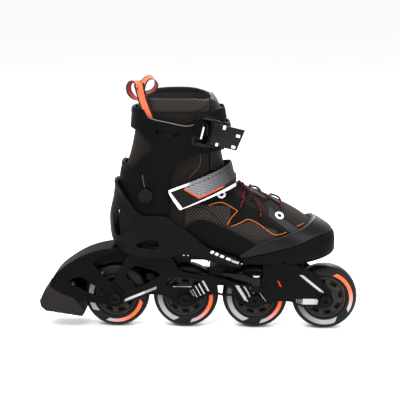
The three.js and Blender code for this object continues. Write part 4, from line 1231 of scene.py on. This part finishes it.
# ---- Eyelets and laces ----
# White plastic eyelets hold one round lace, black with a burgundy fleck. It zigzags over a webbed bar and
# is knotted behind the second crossing, with two short ends.
eyelet_white = leather_paint("eyelet_white", tone(0.62, 0.62, 0.6), tone(0.8, 0.8, 0.78), 0.45)
painted_hole_shade = leather_paint("painted_hole_shade", tone(0.002, 0.002, 0.002), tone(0.004, 0.004, 0.004), 0.9)
lace_radius = 1.25

eyelet_spots = []
for side, word in ((-1, "outer"), (1, "inner")):
    spots = [("front", on_skin(91, 137, side)), ("rear", on_skin(26, 160, side))]
    for name, (spot, normal) in spots:
        eyelet_spots.append((f"eyelet_{name}_{word}", spot, normal, word == "outer" or name == "front"))


def foot_row(along):
    """The foot's ring at a distance along it."""
    for a, b in zip(foot_rings, foot_rings[1:]):
        if a[0] <= along <= b[0]:
            t = (along - a[0]) / (b[0] - a[0])
            return [p + t * (q - p) for p, q in zip(a, b)]
    return list(foot_rings[-1])


def on_foot(along, degrees, lift):
    """A place over the foot: distance along, and the angle from the outer side over the top."""
    turn = math.radians(degrees)
    spot = foot_point(foot_row(along), lift, turn)
    ahead = foot_point(foot_row(along + 1), lift, turn) - foot_point(foot_row(along - 1), lift, turn)
    round_it = foot_point(foot_row(along), lift, turn + 0.02) - foot_point(foot_row(along), lift, turn - 0.02)
    return spot, ahead.cross(round_it).normalized() * -1

eyelet_spots.append(("eyelet_middle_inner", *on_foot(69, 107, 0), True))
eyelet_spots.append(("eyelet_middle_outer", *on_foot(60, 56, 0), False))


def ring_on(name, spot, normal, outer, inner, height):
    """A flat ring that lies on the surface."""
    middle, half = (outer + inner) / 2, (outer - inner) / 2
    side = normal.orthogonal().normalized()
    other = normal.cross(side)
    count = 40
    around = [2 * math.pi * k / count for k in range(count)]
    path = [spot + (side * math.cos(t) + other * math.sin(t)) * middle * mm for t in around]
    return swept(name, path, [normal] * count, half, height, 12, True, 0.8)

for name, spot, normal, white in eyelet_spots:
    ring = ring_on(name, spot + normal * 0.5 * mm, normal, 5.1, 2.5, 0.8)
    soft_lines.append(fit(ring, "base", [], eyelet_white if white else thread_dark))
    # A black disc fills each eyelet's hole as painted shade.
    plug = swept(f"{name}_hole", [spot - normal * 0.6 * mm, spot + normal * 0.35 * mm],
                 [normal.orthogonal()] * 2, 2.7, 2.7, 20)
    soft_lines.append(fit(plug, "base", [], painted_hole_shade))


def lace_paint():
    paint = Paint("lace_braid")
    u, v, w = paint.parts(paint.node("ShaderNodeUVMap"))
    one_way = (u * 2.2 + v * 0.55).wave(1)
    other_way = (u * 2.2 - v * 0.55).wave(1)
    braid = one_way.most(other_way)
    fleck = paint.noise(paint.place(), 0.5, 3).over(0.5, 0.06)
    colour = paint.mix(fleck * braid, tone(0.003, 0.0025, 0.0025), tone(0.15, 0.008, 0.016))
    return paint.finish(colour, 0.9, braid, 0.25, specular_ior_level=0.12)

lace_braid = lace_paint()
lace_route = [  # along the foot, degrees up from level
    (50, 74), (56, 66), (58, 90), (60, 112), (66, 104), (70, 84), (72, 62), (78, 72), (82, 90), (84, 112),
    (90, 102), (93, 82), (94, 60),
]


def lace(name, guide, nodes):
    """A round lace through guide points."""
    path = [Vector(p) for p in flowing([tuple(spot) for spot, normal in guide], 8, False)]
    count = len(guide) - 1
    normals = []
    for i in range(len(path)):
        t = i / 8
        k = min(int(t), count - 1)
        normals.append((guide[k][1] * (k + 1 - t) + guide[k + 1][1] * (t - k)).normalized())
    obj = swept(name, path, normals, lace_radius, lace_radius, 12)
    fit(obj, "base", nodes, lace_braid)
    return obj

lace("lace_run", [on_foot(a, t, 2.0) for a, t in lace_route], ["laces"])
lace("lace_end_rear", [on_foot(a, t, lift) for a, t, lift in (
    (46, 78, 5.5), (50, 70, 4.4), (53, 62, 3.4), (50, 55, 2.6), (51, 48, 2.2), (49, 42, 1.9), (48, 36, 1.8))],
     [])
lace("lace_end_front", [on_foot(a, t, lift) for a, t, lift in (
    (49, 72, 8.2), (55, 65, 6.0), (61, 58, 4.4), (66, 51, 2.8), (69, 44, 2.0), (70, 37, 1.8), (70, 32, 1.8))],
     [])
knot_at, knot_up = on_foot(46, 76, 3.6)
knot_side = knot_up.orthogonal().normalized()
knot_other = knot_up.cross(knot_side)
knot_path = []
for k in range(64):
    t = 2 * math.pi * k / 64
    across = math.sin(t) + 2 * math.sin(2 * t)
    along = math.cos(t) - 2 * math.cos(2 * t)
    rise = -math.sin(3 * t)
    bend = knot_side * across * 1.35 + knot_other * along * 1.35 + knot_up * rise * 1.3
    knot_path.append(knot_at + bend * mm)
knot = swept("lace_knot", knot_path, [knot_up] * 64, 1.3, 1.3, 10, True)
fit(knot, "base", [], lace_braid)
for name, stops in (
    ("lace_bar_rear", [(52, 82, 0.8), (58, 74, 1.2), (66, 70, 1.2), (75, 69, 1.0)]),
    ("lace_bar_front", [(75, 84, 0.8), (82, 78, 1.1), (89, 74, 1.1), (95, 72, 0.8)]),
):
    spots = [on_foot(a, t, lift) for a, t, lift in stops]
    path = [Vector(p) for p in flowing([tuple(s) for s, n in spots], 6, False)]
    normals = [spots[min(3, round(i / 6))][1] for i in range(len(path))]
    lace_bar = swept(name, path, normals, 3.6, 0.9, 12, False, 0.6)
    soft_lines.append(fit(lace_bar, "base", [], smooth_lining))

# ---- Instep strap ----
# A webbing strap with a moulded face crosses the instep. Its outer end has a white bound edge, a black
# grip field and a silver scale pattern over an orange chevron. Its inner end is riveted to the heel
# shell.
strap_slope = math.radians(21)
strap_centre = (-25, 158.5)


def tilted(name, x0, x1, half, centre, slope):
    """A long block across the skate whose length leans in the side view."""
    made = bar(name, x0, x1, -90, 90, -half, half)
    made.data.transform(Matrix.Translation((centre[0] * mm, 0, centre[1] * mm))
                        @ Matrix.Rotation(-slope, 4, "Y"))
    return made


def strap_band():
    band = combine(layer(7.6, 9.8), tilted("across", -140, 140, 12.8, (-24.6, 157.4), strap_slope),
                   "INTERSECT")
    outer_end = flowing([(-31.4, 182), (-31.4, 170), (-30.6, 163), (-18.6, 144.4), (-14, 140)], 3, False)
    outer_keep = combine(plate("outer", outer_end + [(80, 140), (80, 240), (-31.4, 240)]),
                         bar("outer_half", -200, 200, -90, 0, 0, 300), "INTERSECT")
    inner_keep = combine(plate("inner", [(-30.4, 139), (80, 139), (80, 240), (-30.4, 240)]),
                         bar("inner_half", -200, 200, 0, 90, 0, 300), "INTERSECT")
    combine(outer_keep, inner_keep, "UNION")
    combine(band, outer_keep, "INTERSECT")
    combine(band, bar("instep_fold", 43, 120, -40, 40, 100, 260), "DIFFERENCE")
    tail_line = [(-30.4, 108), (-8, 108), (2, 132), (2, 152), (-30.4, 142)]
    tail = combine(layer(10.2, 12.6), plate("tail", tail_line), "INTERSECT")
    step = combine(layer(7.6, 12.6), plate("step", [(-30.4, 139), (0, 139), (0, 152), (-30.4, 142)]),
                   "INTERSECT")
    combine(tail, step, "UNION")
    combine(tail, bar("inner_side", -200, 200, 10, 90, 0, 300), "INTERSECT")
    combine(band, tail, "UNION")
    combine(band, barrel("rivet_hole", 3.3, 10, 80, -18, 118), "DIFFERENCE")
    return soften(band, 0.9, 3)

strap = strap_band()


def strap_paint():
    paint = Paint("strap_face")
    place = paint.place()
    x, y, z = paint.parts(place)
    ahead = x - strap_centre[0]
    above = z - strap_centre[1]
    along = ahead * math.cos(strap_slope) + above * math.sin(strap_slope)
    across = above * math.cos(strap_slope) - ahead * math.sin(strap_slope)
    outer = 1 - y.over(-2, 4)
    row = (across * 0.9 + along * 0.28).wave(1.7)
    column = (along * 1.0 + (across * (math.pi / 1.7)).math("SINE", across * (math.pi / 1.7))
              * 0.35).wave(1.5)
    scale = row * column
    weave = paint.noise(place, 2.5, 3, 0.6)
    silver = paint.mix(scale, tone(0.05, 0.052, 0.057), tone(0.46, 0.47, 0.5))
    shade = along.over(30, 36)
    silver = paint.mix(shade, silver, tone(0.02, 0.02, 0.022))
    black = paint.mix(weave, tone(0.003, 0.003, 0.0035), tone(0.007, 0.007, 0.0075))
    # The silver field is a long panel cut off by a chevron whose point looks down and back.
    slope_line = across + (along - 27) * 1.35
    floor_line = across - along * 0.035
    panel_low = floor_line.over(-9.0, 0.3) * slope_line.over(-9.2, 0.3)
    line_low = floor_line.over(-10.7, 0.3) * slope_line.over(-12.0, 0.3)
    panel = panel_low * along.over(2, 0.3)
    orange_line = (line_low - panel_low).over(0.5, 0.2) * (1 - across.over(6.6, 0.3))
    orange_line = orange_line * (1 - along.over(52, 5))
    edge_low = 1 - floor_line.over(-13.1, 0.25)
    end_cut = 1 - (along + across * 0.275).over(1.0, 0.25)
    corner = 1 - (along * 1.3 - across).over(-15.2, 0.3)
    top_edge = across.over(8.9, 0.25) * (1 - along.over(14, 10))
    bound = edge_low.most(end_cut).most(corner).most(top_edge) * outer * (1 - along.over(60, 14))
    stitch = across.within(7.2, 8.0, 0.15) * (along.wave(4.6).over(0.3, 0.1)) * along.over(6, 1)
    colour = paint.mix(panel * outer, black, silver)
    colour = paint.mix(orange_line * outer, colour, tone(0.62, 0.07, 0.012))
    colour = paint.mix(bound, colour, tone(0.74, 0.75, 0.76))
    colour = paint.mix(stitch * outer, colour, tone(0.004, 0.004, 0.004))
    relief = scale * panel * 1.4 + weave * 0.5 + bound * 1.6 + orange_line * 1.0 - stitch * 1.5
    return paint.finish(colour, weave * 0.2 + 0.46, relief, 0.22, specular_ior_level=0.07)

fit(strap, "base", ["instep_strap"], strap_paint()).name = "instep_strap_webbing"

low_corner, high_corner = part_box("strap_rivet")


def side_rivet(name, node, body, x, z, seat, tip):
    """A domed rivet whose head sits on the inner side at seat, with its shank reaching in to tip."""
    head = [(5.9, 0), (6.1, 0.4), (5.2, 1.5), (3, 2.1), (2.4, 1.9), (1.6, 1.6), (0, 1.6)]
    profile = [(0, tip), (2.8, tip), (3, tip + 0.3), (3, seat)] + [(r, seat + y) for r, y in head]
    rivet = smooth_shade(moved(turned(name, profile, 48), x, 0, z), 50)
    return fit(rivet, body, [node], rivet_paint)

side_rivet("strap_rivet_head", "strap_rivet", "base", -18, 118, high_corner.y / mm - 1.8, low_corner.y / mm)
low_corner, high_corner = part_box("ladder_rivet")
side_rivet("ladder_rivet_head", "ladder_rivet", "cuff_group", -6, 238.5, high_corner.y / mm - 1.8,
           low_corner.y / mm)

# ---- Ladder strap and buckle ----
# A toothed nylon strap runs from the inner rivet round the front of the cuff into a cam buckle: a base
# riveted to the cuff, two side walls, a cross pin and a lever with four pale inlays.
ladder_slope = math.radians(-12)
ladder_centre = (20, 233)
ladder_band = combine(layer(7, 8.9, "leg"), tilted("across", -200, 200, 9.8, ladder_centre, ladder_slope),
                      "INTERSECT")
ladder_keep = combine(bar("outer_half", -4, 200, -90, 0, 0, 300),
                      bar("inner_half", -16, 200, -0.01, 90, 0, 300), "UNION")
combine(ladder_band, ladder_keep, "INTERSECT")
soften(ladder_band, 0.8, 3)
combine(ladder_band, barrel("rivet_hole", 3.3, 10, 80, -6, 238.5), "DIFFERENCE")

teeth = []


def leg_row(height):
    for a, b in zip(leg_rings, leg_rings[1:]):
        if a[0] <= height <= b[0]:
            t = (height - a[0]) / (b[0] - a[0])
            return [p + t * (q - p) for p, q in zip(a, b)]
    return list(leg_rings[-1])

for k in range(26):
    turn = math.radians(-64 + 5.2 * k)
    corners = []
    for lift in (8.6, 10.0):
        for step in (-1.5, 1.5):
            for edge in (-6.4, 6.4):
                shifted = turn + math.radians(step * 0.62 + (0.8 if lift > 9 and step < 0 else 0))
                rough_x = leg_point(leg_row(235), lift, shifted).x / mm
                height = ladder_centre[1] + (rough_x - ladder_centre[0]) * math.tan(ladder_slope) + edge
                corners.append(leg_point(leg_row(height), lift, shifted))
    faces = [(0, 1, 3, 2), (4, 6, 7, 5), (0, 4, 5, 1), (2, 3, 7, 6), (0, 2, 6, 4), (1, 5, 7, 3)]
    teeth.append(tidy_normals(from_mesh("tooth", corners, faces)))


def joined(name, parts):
    """Several meshes as one piece."""
    pick(parts[0])
    for part in parts:
        part.select_set(True)
    bpy.ops.object.join()
    parts[0].name = name
    return parts[0]

ladder = joined("ladder_strap_toothed", [ladder_band] + teeth)
smooth_shade(ladder, 35)
fit(ladder, "cuff_group", ["ladder_strap"], black_plastic)

buckle_matrix = (Matrix.Translation((4 * mm, -39 * mm, 234.3 * mm))
                 @ Matrix.Rotation(math.radians(20), 4, "Z")
                 @ Matrix.Rotation(math.radians(15), 4, "Y"))

sheet_line = flowing([(-7, -12), (-5.5, -16), (0, -18), (12, -17), (17, -13), (17, 13), (12, 17), (0, 18),
                      (-5.5, 16), (-7, 12)], 3)


def in_buckle(obj):
    """Carries a piece drawn along the strap (X), outwards (-Y) and across it (Z) to its place."""
    obj.data.transform(buckle_matrix)
    return obj

buckle_sheet = combine(layer(5.9, 7.0, "leg"), in_buckle(plate("sheet", sheet_line, -20, 12)), "INTERSECT")
base_parts = [buckle_sheet]


def rounded(obj, width=0.6, segments=3, angle=30):
    modify(obj, "BEVEL", width=width * mm, segments=segments, limit_method="ANGLE",
           angle_limit=math.radians(angle))
    return smooth_shade(obj, 40)

for side in (-1, 1):
    bpy.ops.mesh.primitive_cube_add(size=1)
    wall = bpy.context.object
    wall.data.transform(Matrix.Diagonal((21 * mm, 19 * mm, 2 * mm, 1)))
    wall.data.transform(Matrix.Translation((6.5 * mm, -0.9 * mm, side * 13.9 * mm)))
    rounded(wall, 1.5, 4)
    in_buckle(wall)
    combine(wall, last(5.9, "leg"), "DIFFERENCE")
    base_parts.append(wall)
buckle_base = joined("buckle_base_mould", base_parts)
smooth_shade(buckle_base, 35)
fit(buckle_base, "cuff_group", ["buckle_base"], gloss_black)

lever_outline = [(8, -12.4), (41.5, -12.4), (45.5, 12.4), (8, 12.4)]


def pressed(obj, normal, margin, depth):
    """Insets the face that looks along a direction and sinks its middle."""
    pick(obj)
    for face in obj.data.polygons:
        face.select = face.normal.dot(Vector(normal)) > 0.99
    bpy.ops.object.mode_set(mode="EDIT")
    bpy.ops.mesh.select_mode(type="FACE")
    bpy.ops.mesh.inset(thickness=margin * mm, depth=-depth * mm)
    bpy.ops.object.mode_set(mode="OBJECT")
    return obj

lever_plate = pressed(plate("buckle_lever_mould", lever_outline, -13.4, -10.8), (0, -1, 0), 1.7, 0.35)
rounded(lever_plate, 0.45)
cheeks = []
for side in (-1, 1):
    cheek = bar("cheek", 6, 14, -11.4, -4.4, *sorted((side * 10.6, side * 12.4)))
    cheeks.append(rounded(cheek, 0.7))
lever = joined("buckle_lever_mould", [lever_plate] + cheeks)
in_buckle(lever)
fit(lever, "buckle_lever", ["buckle_lever"], gloss_black)
cream = leather_paint("inlay_cream", tone(0.6, 0.58, 0.48), tone(0.74, 0.72, 0.6), 0.4)
for number, (x, z, wide, tall) in enumerate(
        [(20.6, 9.6, 3.2, 4.4), (38.4, 4.0, 4.6, 3.2), (36.2, -8.8, 4.6, 3.2), (16.8, -10.2, 3.0, 3.6)], 1):
    left, low = x - wide / 2, z - tall / 2
    inlay = bar(f"lever_inlay_{number}", left, x + wide / 2, -13.75, -12.6, low, z + tall / 2)
    rounded(inlay, 0.3)
    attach(wear(in_buckle(inlay), cream), "buckle_lever")
bpy.ops.mesh.primitive_cylinder_add(vertices=32, radius=2 * mm, depth=31.4 * mm)
cross_pin = bpy.context.object
cross_pin.name = "buckle_pin_turned"
cross_pin.data.transform(Matrix.Translation((9 * mm, -7.4 * mm, 0)))
fit(in_buckle(rounded(cross_pin, 0.4)), "cuff_group", ["buckle_pin"], dark_steel)
guide_bar = rounded(bar("buckle_guide_bar", -2.2, -0.6, -11.2, -9.4, -8.4, 5), 0.5)
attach(wear(in_buckle(guide_bar), cream), "cuff_group")

# ---- Pull loop ----
# One orange ribbon with black selvedges is sewn to the collar. Its ends form two lobes, one standing back
# like a ring and one leaning forward like a leaf.
def ribbon_paint():
    paint = Paint("pull_ribbon")
    u, v, w = paint.parts(paint.node("ShaderNodeUVMap"))
    across = (u * (2 * math.pi)).math("COSINE", u * (2 * math.pi))
    selvedge = across.size().over(0.34, 0.05)
    weave = v.wave(0.8) * 0.6 + (across * 9).wave(1.0) * 0.4
    fuzz = paint.noise(paint.place(), 0.9, 3)
    # One face of the ribbon is painted dark red: painted shade on its underside.
    underside_shade = u.over(0.52, 0.03)
    orange = paint.mix(fuzz, tone(0.8, 0.085, 0.03), tone(0.92, 0.15, 0.06))
    orange = paint.mix(underside_shade, orange, tone(0.3, 0.018, 0.014))
    colour = paint.mix(selvedge, orange, tone(0.008, 0.007, 0.007))
    return paint.finish(colour, 0.8, weave, 0.1, specular_ior_level=0.15, sheen_weight=0.2,
                        sheen_roughness=0.4)

ribbon = ribbon_paint()

stem = strip("pull_loop_stem", [
    (-51, -31.6, 243, -0.5, -1, 0), (-55.5, -31.4, 254, -0.5, -1, 0), (-60, -30.6, 266, -0.5, -1, 0.1),
    (-62.6, -29.5, 276, -0.45, -1, 0.25), (-64.5, -27, 283.5, -0.3, -0.9, 0.7)])
rear_lobe = strip("pull_loop_rear", [
    (-64.5, -27, 283.5, -0.1, -0.8, 0.7), (-68.5, -23, 286.4, -0.2, 0.1, 1),
    (-73.5, -20.5, 285.5, -0.8, 0.45, 0.5), (-76.6, -20, 280, -1, 0.6, 0),
    (-75.6, -20, 273.5, -0.9, 0.6, -0.35), (-71.5, -21, 268.5, -0.7, 0.5, -0.6),
    (-66.5, -24, 265, -0.6, 0.2, -0.4)], 4.6)
front_lobe = strip("pull_loop_front", [
    (-62.6, -30, 276, 0.2, -1, 0.3), (-60.5, -27, 283, -0.4, -0.9, 0.3), (-56.6, -24, 288.6, -0.6, -0.8, 0.6),
    (-51.2, -21, 290.4, 0.1, -0.4, 1), (-47.0, -20, 286, 1, 0.35, 0.3), (-46.2, -20.5, 280.5, 0.9, 0.6, -0.3),
    (-50, -22, 275.6, 0.5, 0.5, -0.8), (-56.5, -26, 272.6, 0.2, 0.2, -0.9),
    (-60, -30, 270, 0.2, -0.2, -0.8)], 4.6)
pull_loop = joined("pull_loop_ribbon", [stem, rear_lobe, front_lobe])
fit(pull_loop, "cuff_group", ["pull_loop"], ribbon)


def free(obj):
    """Takes a piece off its body."""
    obj.parent = None
    if "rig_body" in obj:
        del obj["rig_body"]
    return obj

for piece in [inner_boot, tongue] + collar_lines:
    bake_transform(free(piece))
for piece in [upper] + soft_lines:
    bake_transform(free(piece))

for made in lasts.values():
    discard(made)

# ---- Floor ----
# A pale seamless floor runs to the horizon.
bpy.ops.mesh.primitive_plane_add(size=60)
floor = bpy.context.object
floor.name = "floor"
floor_paint = Paint("studio_floor")
floor_cloud = floor_paint.noise(floor_paint.place(), 0.004, 3)
wear(floor, floor_paint.finish(
    floor_paint.mix(floor_cloud, tone(0.93, 0.93, 0.93), tone(0.96, 0.96, 0.96)), floor_cloud * 0.1 + 0.6))
